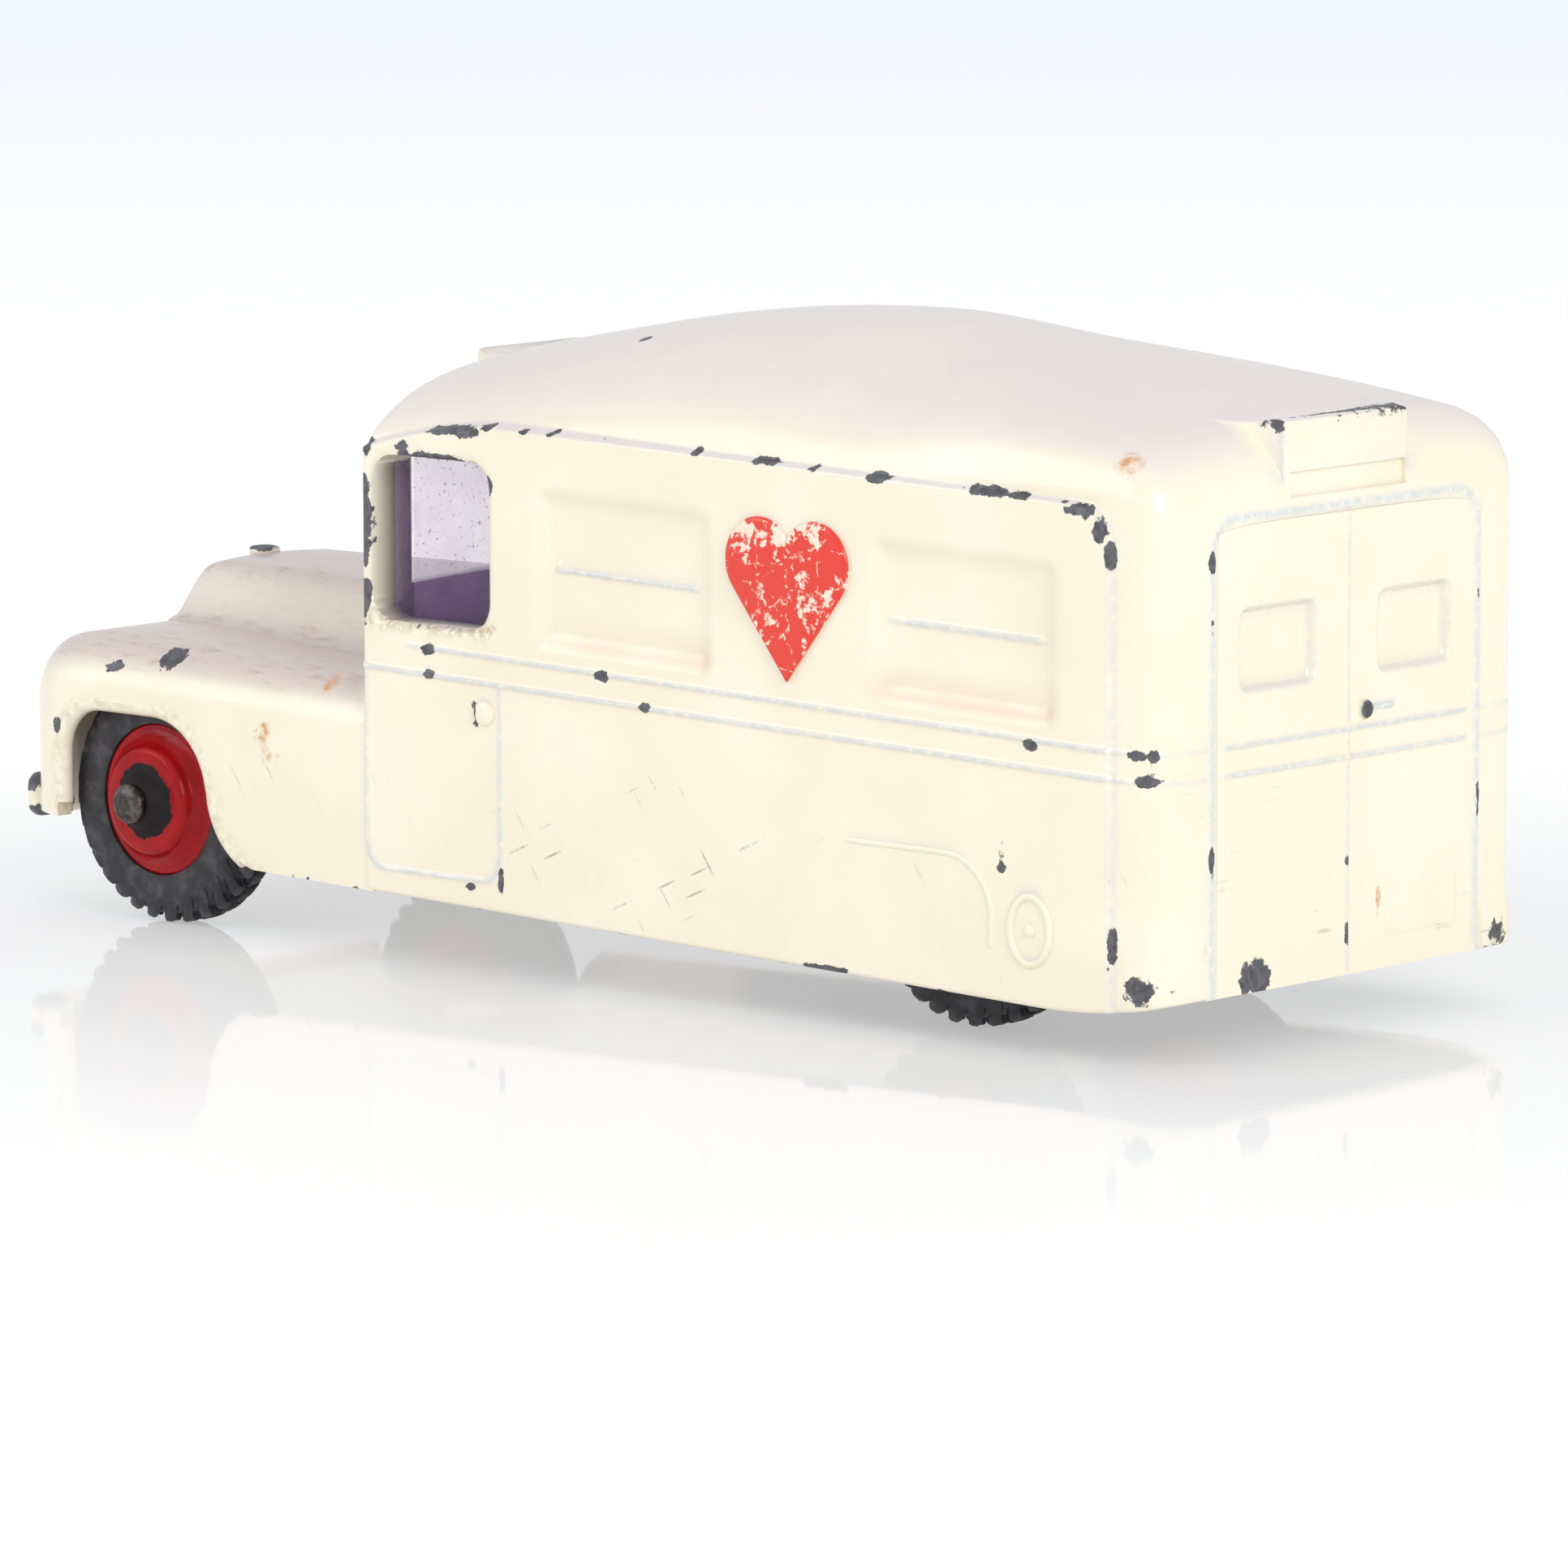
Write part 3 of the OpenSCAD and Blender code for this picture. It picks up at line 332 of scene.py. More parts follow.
def sideRelief(x, z):
    height = z - drop(x)
    amount = van["beltRise"] * beltRelief(x, z)
    doorLine = bead(doorDistance(x, z), van["lineW"]) * within(height - beltZ, van["softW"])
    amount = amount + van["lineRise"] * doorLine
    for pocket in pockets:
        amount = amount - van["pocketDepth"] * ease(-pocketDistance(pocket, x, height) / van["bevel"])
        along, across = barDistance(pocket, x, height)
        amount = amount + pocketBar["rise"] * bead(across, pocketBar["width"]) * within(along, van["softW"])
    pane = boxDistance(x, z, window["low"], window["high"], window["radius"])
    return amount - arcDrop(np.clip(pane, 0, None), window["edge"])


def rearRelief(y, z):
    beltEnd = within(np.abs(y) - van["rearBeltHalf"], van["rearBeltTaper"])
    amount = van["beltRise"] * beltRelief(rearX, z) * beltEnd
    amount = amount + van["lineRise"] * bead(y, van["lineW"])
    amount = amount - rearWindow["depth"] * ease(-rearWindowDistance(y, z) / rearWindow["edge"])
    frameLine = boxDistance(y, z, plateFrame["low"], plateFrame["high"], plateFrame["radius"])
    return (amount + plateFrame["rise"] * bead(frameLine, plateFrame["lineW"])
            + van["rearCrown"] * (1 - (y / doorHalf) ** 2))


sideMarks = ([(window["low"][0] + 0.4, 1.4, 0.32), (window["high"][0] - 0.4, 1.4, 0.32),
              (door["low"][0], 0.5, 0.16), (door["high"][0], 0.5, 0.16), (creaseX - 0.8, 1.2, 0.3),
              (creaseX - 0.2, 0.4, 0.12), (pillarX, 0.5, 0.13)]
             + [(pocket[end][0] + shift, 0.7, 0.26) for pocket in pockets
                for end, shift in (("low", 0.6), ("high", -0.6))]
             + [(x, 0.45, 0.2) for x in (-10.15, -6.4, -2.2, 0.1, 4.3, 7.8, 11.7, 35.8, 38.1)])  # small chips
heightMarks = [(van["sillLift"], 0.4, 0.11), (door["low"][1], 0.4, 0.14), (beltZ, 0.4, 0.1),
               (beltZ + van["beltPitch"], 0.4, 0.1), (pockets[0]["low"][1] + 0.6, 0.7, 0.26),
               (pockets[0]["high"][1] - 0.6, 0.7, 0.26), (25.4, 0.4, 0.12), (window["low"][1], 0.8, 0.26),
               (window["high"][1], 0.9, 0.3), (ledgeZ, 0.5, 0.1), (6.0, 0.5, 0.2), (9.0, 0.4, 0.2),
               (rearWindow["low"][1] + 0.2 - drop(rearX), 0.4, 0.13),
               (rearWindow["high"][1] - 0.2 - drop(rearX) + rearWindow["rowLift"], 0.4, 0.13)]
backMarks = [(3.0, 0.4, 0.13), (9.7, 0.4, 0.13), (0, 0.4, 0.12), (3.5, 0.3, 0.12), (10.2, 0.3, 0.12),
             (6.84, 0.35, 0.16)]
topLift = 0.85                              # the height rows run this far above the ledge
liftZ = 24                                  # and follow the roof's edge from this height up


def vanShape(stations, heights, spread, detailed):
    inset = 0 if detailed else van["wall"]
    turn = np.radians(np.linspace(0, 90, 15 if detailed else 7)[1:])
    bend = 2 / van["cornerPower"]
    cornerX = creaseX + van["cornerL"] * np.sin(turn) ** bend
    cornerHalf = doorHalf + (shellHalf - doorHalf) * np.cos(turn) ** bend
    xs = np.concatenate([stations, cornerX])
    half = np.concatenate([np.full(len(stations), shellHalf), cornerHalf])
    power = lerp(van["roofPower"], van["endPower"], ease((xs - rearX + van["endL"]) / van["endL"]))[:, None]
    shoulder, ridge = shoulderAt(xs), ridgeAt(xs)
    if not detailed:                        # the cavity: pulled in by the wall, open below
        middle = (pillarX + rearX) / 2
        squeeze = (rearX - pillarX - 2 * van["wall"]) / (rearX - pillarX)
        half, ridge, shoulder = half - inset, ridge - inset, shoulder - inset
    topZ = shoulder + np.minimum(ledgeAt(xs) + topLift - shoulder, 0.5 * (ridge - shoulder))
    low, high = heights[0], heights[-1]
    if detailed:
        z = (heights[None, :] + drop(xs)[:, None]
             + (sillAt(xs) - low - drop(xs))[:, None] * (1 - ease((heights - low) / van["sillFade"]))[None, :]
             + (topZ - high - drop(xs))[:, None] * ease((heights - liftZ) / (high - liftZ))[None, :])
    else:
        z = lerp(-1, topZ[:, None], ((heights - low) / (high - low))[None, :])
    rise = (ridge - shoulder)[:, None]
    share = np.clip((z - shoulder[:, None]) / rise, 0, 1)
    wallS = quarter(share, power)
    roofS = wallS[:, -1:] * spread[None, :]
    roofQ = quarter(roofS, power)
    s = np.concatenate([wallS, roofS], 1)
    q = np.concatenate([share, roofQ], 1)
    y = half[:, None] * s
    z = np.concatenate([z, shoulder[:, None] + rise * roofQ], 1)
    x = np.repeat(xs[:, None], s.shape[1], 1)
    away = xs[:, None] - pillarX
    x = x - van["cabBow"] * (1 - s ** 2) * (1 - ease(away / van["bowL"]))
    outY, outZ = s ** (power - 1) / half[:, None], q ** (power - 1) / rise
    size = np.hypot(outY, outZ)
    outY, outZ = outY / size, outZ / size
    count = len(heights)
    if not detailed:
        x = middle + (x - middle) * squeeze
        return np.stack([x, y, z], -1), count
    # flat side panels, reliefs and the rounded front edge
    panel = within(panelDistance(x, z), van["softW"]) * (s > 0.5)
    y = y + np.clip(halfW - y, 0, None) * panel
    flat = away <= creaseX - pillarX
    cornerBelts = van["cornerBelt"] * van["beltRise"] * beltRelief(x, z) * (s > 0.5)
    amount = np.where(flat & (s > 0.5), sideRelief(x, z), cornerBelts)
    pad = (within(z - sillAt(x) - cornerPad["high"], cornerPad["edge"])
           * within(creaseX + cornerPad["start"] - x, cornerPad["start"]))
    amount = amount + cornerPad["rise"] * pad - arcDrop(z - sillAt(x), van["sillEdge"]) * (q < 0.2)
    slope = np.gradient(half, xs + np.arange(len(xs)) * 1e-9)[:, None]
    planX = np.where(flat, 0, -slope / np.hypot(1, slope))
    planY = np.where(flat, 1, 1 / np.hypot(1, slope))
    edge = lerp(van["pillarEdge"], van["roofEdge"], ease(q / 0.6))
    pull = amount - arcDrop(away, edge)
    x = x + np.where(flat, 0, planX * amount)
    y = y + outY * np.where(flat, pull, planY * amount)
    z = z + outZ * np.where(flat, pull, 0)
    # the rear doors' rim: the last ring drawn inwards in steps
    rim, lastX, lastY, lastZ = [], rearX, y[-1], z[-1]
    for far in doorRim["steps"]:
        lift = doorRim["rise"] * bead(far - doorRim["middle"], doorRim["width"])
        ringY = np.maximum(lastY - far * outY[-1], 0)
        rim.append(np.stack([np.full_like(ringY, lastX + lift), ringY, lastZ - far * outZ[-1]], -1))
    return np.concatenate([np.stack([x, y, z], -1), np.array(rim)]), count


def closeShape(grid, count, front, back):   # mirror the half rings, cap both ends and close the foot
    full = np.concatenate([grid * [1, -1, 1], grid[:, -2::-1]], 1)
    stations, width = full.shape[:2]
    points = [full.reshape(-1, 3)]
    faces = gridFaces(stations, width)
    total = stations * width
    feet = []
    for end, relief in ((0, front), (stations - 1, back)):
        ring = full[end]
        top = ring[count - 1:width - count + 1]
        wall = ring[:count]
        lift = ease((wall[:, 2] - liftZ) / (wall[-1, 2] - liftZ))[:, None]
        y = np.repeat(top[None, :, 1], count, 0)
        z = wall[:, 2][:, None] + (top[None, :, 2] - wall[-1, 2]) * lift
        inner = np.stack([relief(y, z, ring), y, z], -1)[:-1, 1:-1]
        index = np.zeros((count, len(top)), int)
        index[:, 0] = end * width + np.arange(count)
        index[:, -1] = end * width + width - 1 - np.arange(count)
        index[-1] = end * width + count - 1 + np.arange(len(top))
        added = inner.shape[0] * inner.shape[1]
        index[:-1, 1:-1] = total + np.arange(added).reshape(inner.shape[:2])
        total += added
        points.append(inner.reshape(-1, 3))
        faces += [(index[i, j], index[i, j + 1], index[i + 1, j + 1], index[i + 1, j])
                  for i in range(count - 1) for j in range(len(top) - 1)]
        feet.append(list(index[0]))
    left = [i * width for i in range(stations)]
    right = [i * width + width - 1 for i in range(stations)]
    faces.append(left + feet[1][1:-1] + right[::-1] + feet[0][1:-1][::-1])
    return np.concatenate(points), [tuple(int(v) for v in face) for face in faces]


def frontCap(y, z, ring):
    return pillarX - van["cabBow"] * (1 - np.clip(np.abs(y) / np.abs(ring[0, 1]), 0, 1) ** 2)


def rearCap(y, z, ring):
    return rearX + rearRelief(y, z)


def cavityFront(y, z, ring):
    return frontCap(y, z, ring) + van["wall"]


def cavityBack(y, z, ring):
    return np.full_like(y, rearX - van["wall"])


heights = graded(van["sillLift"], ledgeZ + topLift, 1.6, heightMarks)
stations = graded(pillarX, creaseX, 1.6, sideMarks)
edgeY = doorHalf * quarter(0.5, van["endPower"])
backY = graded(0, edgeY, 1.3, backMarks + [(edgeY, 2.4, 0.45)])[::-1]
grid, rowCount = vanShape(stations, heights, backY[1:] / edgeY, True)
body = makeObject("van_body", *closeShape(grid, rowCount, frontCap, rearCap))
print("van skin", len(body.data.polygons))
stations = graded(pillarX, creaseX, 4, [])
grid, rowCount = vanShape(stations, np.linspace(0, 1, 3), np.linspace(1, 0, 9)[1:], False)
vanCavity = makeObject("van_cavity", *closeShape(grid, rowCount, cavityFront, cavityBack))
print("cavity", len(vanCavity.data.polygons))

# the nose: wings and bonnet in one skin
nose = {"setback": 0.6, "round": 5.0, "wingZ": 17.47, "noseDrop": 2.15, "wingL": 9.0, "wingPower": 2.3,
        "shoulder": 3.55, "bonnetZ": 21.93, "bonnetFrontW": 11.15, "bonnetW": 20.0, "bonnetSetback": 4.3,
        "bonnetRound": 4.4, "bonnetPower": 3.1, "crown": 0.1, "edge": 0.64, "side": 0.47, "power": 2.2,
        "cowl": 1.5, "cowlL": 3.2, "cowlFade": 2.2, "cowlHalf": 14.5, "cowlEdge": 5, "footRise": 1.25,
        "footL": 5.5, "footFade": 1.5, "tuck": 0.1}
noseX = frontX + nose["setback"]
noseHalf = halfW - nose["tuck"]
bonnetX = frontX + nose["bonnetSetback"]


def noseFoot(x):                            # the wings' front feet end higher than the sills
    return sillAt(x) + nose["footRise"] * ease((frontAxleX - nose["footL"] - x) / nose["footFade"])


def noseShape(xs, sideRows, arcRows, tops, inset, foot):
    away = np.clip((noseX + nose["round"] - xs) / nose["round"], 0, 1)
    half = noseHalf - nose["round"] * (1 - quarter(away, nose["power"]))
    wing = lerp(nose["wingZ"] - nose["noseDrop"], nose["wingZ"] + drop(xs - pillarX),
                quarter((noseX + nose["wingL"] - xs) / nose["wingL"], nose["wingPower"]))
    back = np.clip((xs - noseX) / (pillarX - noseX), 0, 1)
    bonnetHalf = lerp(nose["bonnetFrontW"], nose["bonnetW"], back) / 2
    bonnet = lerp(wing, nose["bonnetZ"], quarter((bonnetX + nose["bonnetRound"] - xs) / nose["bonnetRound"],
                                                 nose["bonnetPower"]))
    radius = nose["shoulder"]
    rings = []
    for i, x in enumerate(xs):
        low = foot(x)
        y = list(np.full(len(sideRows), half[i]))
        z = list(lerp(low, wing[i] - radius, sideRows))
        y += list(half[i] - radius * (1 - np.cos(arcRows)))
        z += list(wing[i] - radius * (1 - np.sin(arcRows)))
        flat = (half[i] - radius) * tops
        t = flat / bonnetHalf[i]
        rise = (bonnet[i] - wing[i]) * np.clip(1 - nose["crown"] * t ** 2 - (1 - nose["crown"])
                                               * ease((t - nose["edge"]) / nose["side"]), 0, None)
        cab = pillarX - van["cabBow"] * (1 - (flat / halfW) ** 2)
        lift = nose["cowl"] * np.exp(-np.clip(cab - x, 0, None) / nose["cowlL"] * nose["cowlFade"])
        lift = lift * ease((nose["cowlHalf"] - flat) / nose["cowlEdge"])
        y += list(flat)
        z += list(wing[i] + rise + (lift if inset == 0 else 0))
        points = np.stack([np.full(len(y), x), np.array(y), np.array(z)], -1)
        if inset:
            points[:, 1] = np.clip(points[:, 1] - inset, 0, None)
            points[:, 2] = np.where(points[:, 2] > low + 1e-6, points[:, 2] - inset, points[:, 2])
        rings.append(points)
    return np.array(rings)


def closeNose(rings):
    full = np.concatenate([rings * [1, -1, 1], rings[:, -2::-1]], 1)
    count, width = full.shape[:2]
    faces = gridFaces(count, width)
    faces += [tuple(range(width)), tuple((count - 1) * width + j for j in reversed(range(width)))]
    faces += [(i * width, (i + 1) * width, (i + 2) * width - 1, (i + 1) * width - 1)
              for i in range(count - 1)]
    return full.reshape(-1, 3), faces


tops = graded(0, 1, 0.045, [(0.55, 0.25, 0.02)])[::-1]
roundXs = noseX + nose["round"] * (1 - np.sin(np.radians(np.linspace(90, 0, 19))) ** (2 / nose["power"]))
noseXs = np.concatenate([roundXs[:-1], graded(roundXs[-1], pillarX + 0.9, 1.1, [(pillarX - 2.5, 2.5, 0.45)]),
                         bonnetX + nose["bonnetRound"] * np.linspace(0, 0.7, 10) ** 2])
noseXs = np.unique(np.round(noseXs, 2))
arcRows = np.radians(np.linspace(0, 90, 13))[:-1]
skin = noseShape(noseXs, np.linspace(0, 1, 14)[:-1], arcRows, tops, 0, noseFoot)
skin = makeObject("nose", *closeNose(skin))
cavityXs = noseXs[::4]
hollow = noseShape(cavityXs, np.linspace(0, 1, 3)[:-1], np.radians(np.linspace(0, 90, 6))[:-1], tops[::4],
                   van["wall"], lambda x: -1.0)
hollow[:, :, 0] = lerp(noseX + van["wall"], pillarX + 2 * van["wall"],
                       (hollow[:, :, 0] - noseX) / (cavityXs[-1] - noseX))
noseCavity = makeObject("nose_cavity", *closeNose(hollow))
combine(body, skin, "UNION")
print("nose joined", len(body.data.polygons))

# the wheel arch, from its front foot round to the heel
arch = {"frontL": 7.4, "cornerR": 3.4, "mainR": 5.4, "top": 6.0, "heelR": 5.0, "heelL": 11.2, "lip": 0.6,
        "wellGap": 0.4, "wellIn": 0.5}
heelZ = float(sillAt(frontAxleX + arch["heelL"])) + arch["heelR"] - axleZ - 0.1
archFoot = float(noseFoot(frontAxleX - arch["frontL"])) - axleZ + 0.5
cornerZ = arch["top"] - arch["cornerR"]
mainX, mainZ = arch["heelL"] - arch["heelR"] - arch["mainR"], arch["top"] - arch["mainR"]
meet = math.degrees(math.asin((heelZ - mainZ) / arch["mainR"]))
archPath = np.array([[-arch["frontL"], z] for z in np.linspace(archFoot, cornerZ, 10)[:-1]]
                    + arcPoints((arch["cornerR"] - arch["frontL"], cornerZ), arch["cornerR"], 180, 90, 14)
                    + arcPoints((mainX, mainZ), arch["mainR"], 90, meet, 16)
                    + arcPoints((arch["heelL"], heelZ), arch["heelR"], 180, 268, 18)[1:])
archPath = archPath + [frontAxleX, axleZ]
innerY = -tyreHigh[1]                       # the tyre's inner face, on either side
clear = 3                                   # how far a cut runs past what it cuts
arches, wells, glassCut = Build(), Build(), Build()
prism = np.concatenate([archPath, [[archPath[-1, 0], -clear], [archPath[0, 0], -clear]]])
arches.stack([[[x, -far, z] for x, z in prism] for far in (innerY, halfW + clear)])
wellReach = tyreR + arch["wellGap"]
lathe(wells, [(wellReach, innerY - arch["wellIn"]), (wellReach, halfW - van["wall"])],
      (frontAxleX, 0, axleZ), (0, -1, 0), 64)
outline = roundOutline(window["low"], window["high"], window["radius"], 8)
glassCut.stack([[[x, far, z] for x, z in outline] for far in (-halfW - clear, halfW + clear)])
screen = {"post": 1.4, "low": 23.1, "high": 31.0, "half": 14.6, "radius": 1.6, "ahead": 4.5,
          "behind": 0.75}
pane = roundOutline((screen["post"] / 2, screen["low"]), (screen["half"], screen["high"]),
                    screen["radius"], 8)
for side in (-1, 1):
    glassCut.stack([[[far, side * y, z] for y, z in pane]
                    for far in (pillarX - screen["ahead"], pillarX + screen["behind"])])

# cast detail that stands on the skin
trim = Build()
heart = {"place": (19.3, 25.2), "width": 9.7}
filler = {"place": (38.05, 7.45), "half": (1.5, 2.0), "rim": 0.24, "rise": 0.2}
archLine = {"height": 11.4, "radius": 0.24, "bend": 3.6}
handle = {"place": (-5.5, 16.3)}
knob = {"place": (1.6, 19.35), "radius": 0.6}
latch = {"start": 2.4, "end": 4.3, "height": 19.4, "radius": 0.17}
sign = {"half": 5.9, "frontHalf": 4.7, "flare": 1.05, "deep": 1.7, "reach": 5.2, "top": ledgeZ + 3.15,
        "foot": 31.4, "frontFoot": 31.9, "hollow": ((-0.35, -5.3, 0.25), (0.6, 5.5, 1.75))}


def heartOutline(width, inset):
    lobe = 0.275 * width
    lobeZ = width / 2 - lobe
    right = arcPoints((width / 2 - lobe, lobeZ), lobe - inset, -38, 145, 22)
    left = [[-a, b] for a, b in reversed(right)]
    return np.array([[0, -width / 2 + inset * 1.5]] + right + [[0, lobeZ * 1.55 - inset]] + left)


def signRings(faceX, inward, foot, wide):   # flat face, flanks that flare into the roof
    rings = []
    for share, grow, back in ((0, 0.9, 0), (0.3, 0.5, 0), (0.6, 0.2, 0), (0.93, 0, 0), (0.98, -0.08, 0.08),
                              (1, -0.3, 0.3)):
        half = [(sign["reach"], wide + 2 * sign["flare"] + 2 * grow),
                (sign["deep"], wide + sign["flare"] + grow),
                (0.4 + back, wide - 0.05), (back + 0.12, wide - 0.12), (back, wide - 0.4)]
        side = [(faceX + inward * far, y + min(grow, 0)) for far, y in half]
        z = lerp(foot, sign["top"], share)
        rings.append([[x, y, z] for x, y in side + [(x, -y) for x, y in reversed(side)]])
    return rings


trim.stack([[[heart["place"][0] + a, -halfW - far, heart["place"][1] + b]
             for a, b in heartOutline(heart["width"], inset)]
            for inset, far in ((0, -0.5), (0, 0.18), (0.05, 0.27), (0.14, 0.33), (0.3, van["heartRise"]))])
fillerX, fillerZ = filler["place"]
trim.loop([[[fillerX + (filler["half"][0] + filler["rim"] * math.cos(a)) * math.cos(b),
             -halfW - 0.02 - filler["rise"] * math.sin(a),
             fillerZ + (filler["half"][1] + filler["rim"] * math.cos(a)) * math.sin(b)]
            for b in np.linspace(0, 2 * np.pi, 40, endpoint=False)]
           for a in np.linspace(0, 2 * np.pi, 10, endpoint=False)])
lathe(trim, [(0.42, -0.4), (0.4, 0.12), (0.3, 0.2), (0.12, 0.24)], (fillerX, -halfW, fillerZ), (0, -1, 0), 20)
linePath = ([[x, archLine["height"]] for x in np.linspace(rearAxleX - 4.5, rearAxleX + 2.3, 12)]
            + arcPoints((rearAxleX + 3.0, archLine["height"] - archLine["bend"]), archLine["bend"], 84, 3, 14)
            + [[rearAxleX + 6.55, z] for z in (7.4, 6.9, 6.2)])
tube(trim, [[x, -halfW + archLine["radius"] / 2, z] for x, z in linePath], archLine["radius"], (0, 1, 0), 10)
lathe(trim, [(0.8, -0.4), (0.78, 0.16), (0.62, 0.3), (0.3, 0.36)],
      (handle["place"][0], -halfW, handle["place"][1]), (0, -1, 0), 24)
trim = trim.mirrored()
lathe(trim, [(knob["radius"], -0.6), (knob["radius"], 0.2), (0.5, 0.36), (0.25, van["knobRise"] - 0.03)],
      (rearX, *knob["place"]), (1, 0, 0), 24)
tube(trim, [[rearX + 0.06, y, latch["height"]] for y in np.linspace(latch["start"], latch["end"], 4)],
     latch["radius"], (0, 0, 1), 10)
trim.stack(signRings(rearX - 0.05, -1, sign["foot"], sign["half"]))
trim.stack(signRings(pillarX - van["cabBow"] + 0.15, 1, sign["frontFoot"], sign["frontHalf"]))
band = Build()                              # the hollow in the rear sign's face
band.box(*[np.array(corner) + [rearX, 0, rearTopZ] for corner in sign["hollow"]])

# the front: radiator shell, lamps, bumper and cap
front, recess = Build(), Build()
grille = {"half": 4.2, "low": 8.4, "top": 17.6, "x": frontX + 0.05, "radius": 2.6, "lip": 1.05,
          "bars": 7, "barsW": 5.0, "barsH": 6.6, "barR": 0.28}
lamp = {"place": (11.55, 11.6), "profile": [(2.5, -3.0), (2.5, 0.15), (2.42, 0.36), (2.2, 0.44), (2.05, 0.34),
                                            (1.98, 0.16), (1.6, 0.34), (1.1, 0.47), (0.5, 0.54)]}
bumper = {"half": 15.9, "low": 5.8, "high": 8.6, "thick": 1.5, "sweep": 0.35, "edge": 0.55,
          "endL": 0.06, "tip": 0.02}
valley = {"radius": 1.9, "y": 6.2, "top": 17}


def grilleOutline(inset):
    return roundOutline((-grille["half"] + inset, grille["low"] + inset),
                        (grille["half"] - inset, grille["top"] - inset), grille["radius"] - inset * 0.9, 8)


front.stack([[[grille["x"] + far, y, z] for y, z in grilleOutline(inset)]
             for inset, far in ((0, 4.6), (0, 0.7), (0.12, 0.3), (0.4, 0.06), (0.7, 0.0), (0.95, 0.1),
                                (grille["lip"], 0.35), (grille["lip"], 0.8))])
opening = roundOutline((-grille["half"] + grille["lip"], grille["low"] + grille["lip"]),
                       (grille["half"] - grille["lip"], grille["top"] - grille["lip"]), 1.65, 8)
recess.stack([[[x, y, z] for y, z in opening] for x in (frontX - 1, grille["x"] + 1.15)])
for side in (-1, 1):
    lathe(front, lamp["profile"], (noseX, side * lamp["place"][0], lamp["place"][1]), (-1, 0, 0), 40)
    lathe(recess, [(valley["radius"], bumper["high"] + 0.4), (valley["radius"], valley["top"])],
          (noseX - 1.0, side * valley["y"], 0), (0, 0, 1), 32)
middle, reach = (bumper["low"] + bumper["high"]) / 2, (bumper["high"] - bumper["low"]) / 2
section = roundOutline((-bumper["thick"] / 2, -reach), (bumper["thick"] / 2, reach), bumper["edge"], 4)
rings = []
for t in np.concatenate([[-1, -0.992, -0.975, -0.95], np.linspace(-0.92, 0.92, 33), [0.95, 0.975, 0.992, 1]]):
    past = max(0, abs(t) - (1 - bumper["endL"])) ** 2 / bumper["endL"] ** 2
    shrink = math.sqrt(max(bumper["tip"], 1 - past * (1 - bumper["tip"])))
    x = frontX + bumper["sweep"] * abs(t) ** 4 + bumper["thick"] / 2
    rings.append([[x + a * shrink, bumper["half"] * t, middle + b * shrink] for a, b in section])
front.stack(rings)
lathe(front, [(1.0, -0.8), (1.0, 0.15), (0.9, 0.3), (0.55, 0.36)], (frontX + 6.5, 0, nose["bonnetZ"] - 0.02),
      (0, 0, 1), 28)

combine(body, trim.made("cast_detail"), "UNION")
combine(body, band.made("sign_band"), "DIFFERENCE")
combine(body, front.made("front_detail"), "UNION")
combine(body, recess.made("front_cut"), "DIFFERENCE")
print("detail joined", len(body.data.polygons))
for tool in (vanCavity, noseCavity, glassCut.made("window_cut"), arches.mirrored().made("arches"),
             wells.mirrored().made("wells")):
    combine(body, tool, "DIFFERENCE")
print("hollowed", len(body.data.polygons))
lips = Build()
tube(lips, [[x, -halfW + arch["lip"] + 0.08, z] for x, z in archPath[1:-5]], arch["lip"], (0, 1, 0), 14)
combine(body, lips.mirrored().made("arch_lips"), "UNION")
print("body", len(body.data.polygons))

# inner walls that carry the axles, posts and stakes
inside = {"wall": 1.3, "wellGap": 0.8, "ribTop": 16.6, "postTop": 15, "postR": 2.2, "stakeR": 1.1,
          "slotR": 1.05, "slotIn": 4, "bite": 0.6, "backIn": 7.5, "wallTop": 1.4, "lidLow": 0.8,
          "lidTop": 2.1, "frontPost": 4.4, "rearPost": 3.5}
plateLow, plateHigh = boxOf("baseplate")
walls, lids, slots = Build(), Build(), Build()
thick, wellR, sideY = inside["wall"], tyreR + inside["wellGap"], -shellHalf + inside["bite"]
ribOut, backOut = innerY - arch["wellIn"], backHigh[1] - inside["backIn"]
wellStart, wellEnd = rearAxleX - wellR, rearAxleX + wellR
walls.box((frontAxleX - wellR, -ribOut, plateHigh[2]),
          (frontAxleX + wellR, -ribOut + thick, inside["ribTop"]))
outerU = [(wellStart - thick, sideY), (wellStart, sideY), (wellStart, -backOut), (wellEnd, -backOut),
          (wellEnd, sideY), (wellEnd + thick, sideY), (wellEnd + thick, -backOut + thick),
          (wellStart - thick, -backOut + thick)]
walls.stack([[[x, y, z] for x, y in outerU] for z in (plateHigh[2], 2 * tyreR + inside["wallTop"])])
lids.box((wellStart - thick, sideY, 2 * tyreR + inside["lidLow"]),
         (wellEnd + thick, -backOut + thick, 2 * tyreR + inside["lidTop"]))
lids = lids.mirrored()
for x in (frontAxleX + tyreR + inside["frontPost"], rearX - inside["rearPost"]):
    post = [(1.25, plateLow[2] - 0.5), (1.7, plateLow[2] - 0.36), (1.7, plateLow[2] - 0.01),
            (inside["stakeR"], plateLow[2] - 0.01), (inside["stakeR"], plateHigh[2]),
            (inside["postR"], plateHigh[2]), (inside["postR"], inside["postTop"])]
    lathe(lids, post, (x, 0, 0), (0, 0, 1), 32)
slotR, slotHalf = inside["slotR"], halfW - inside["slotIn"]
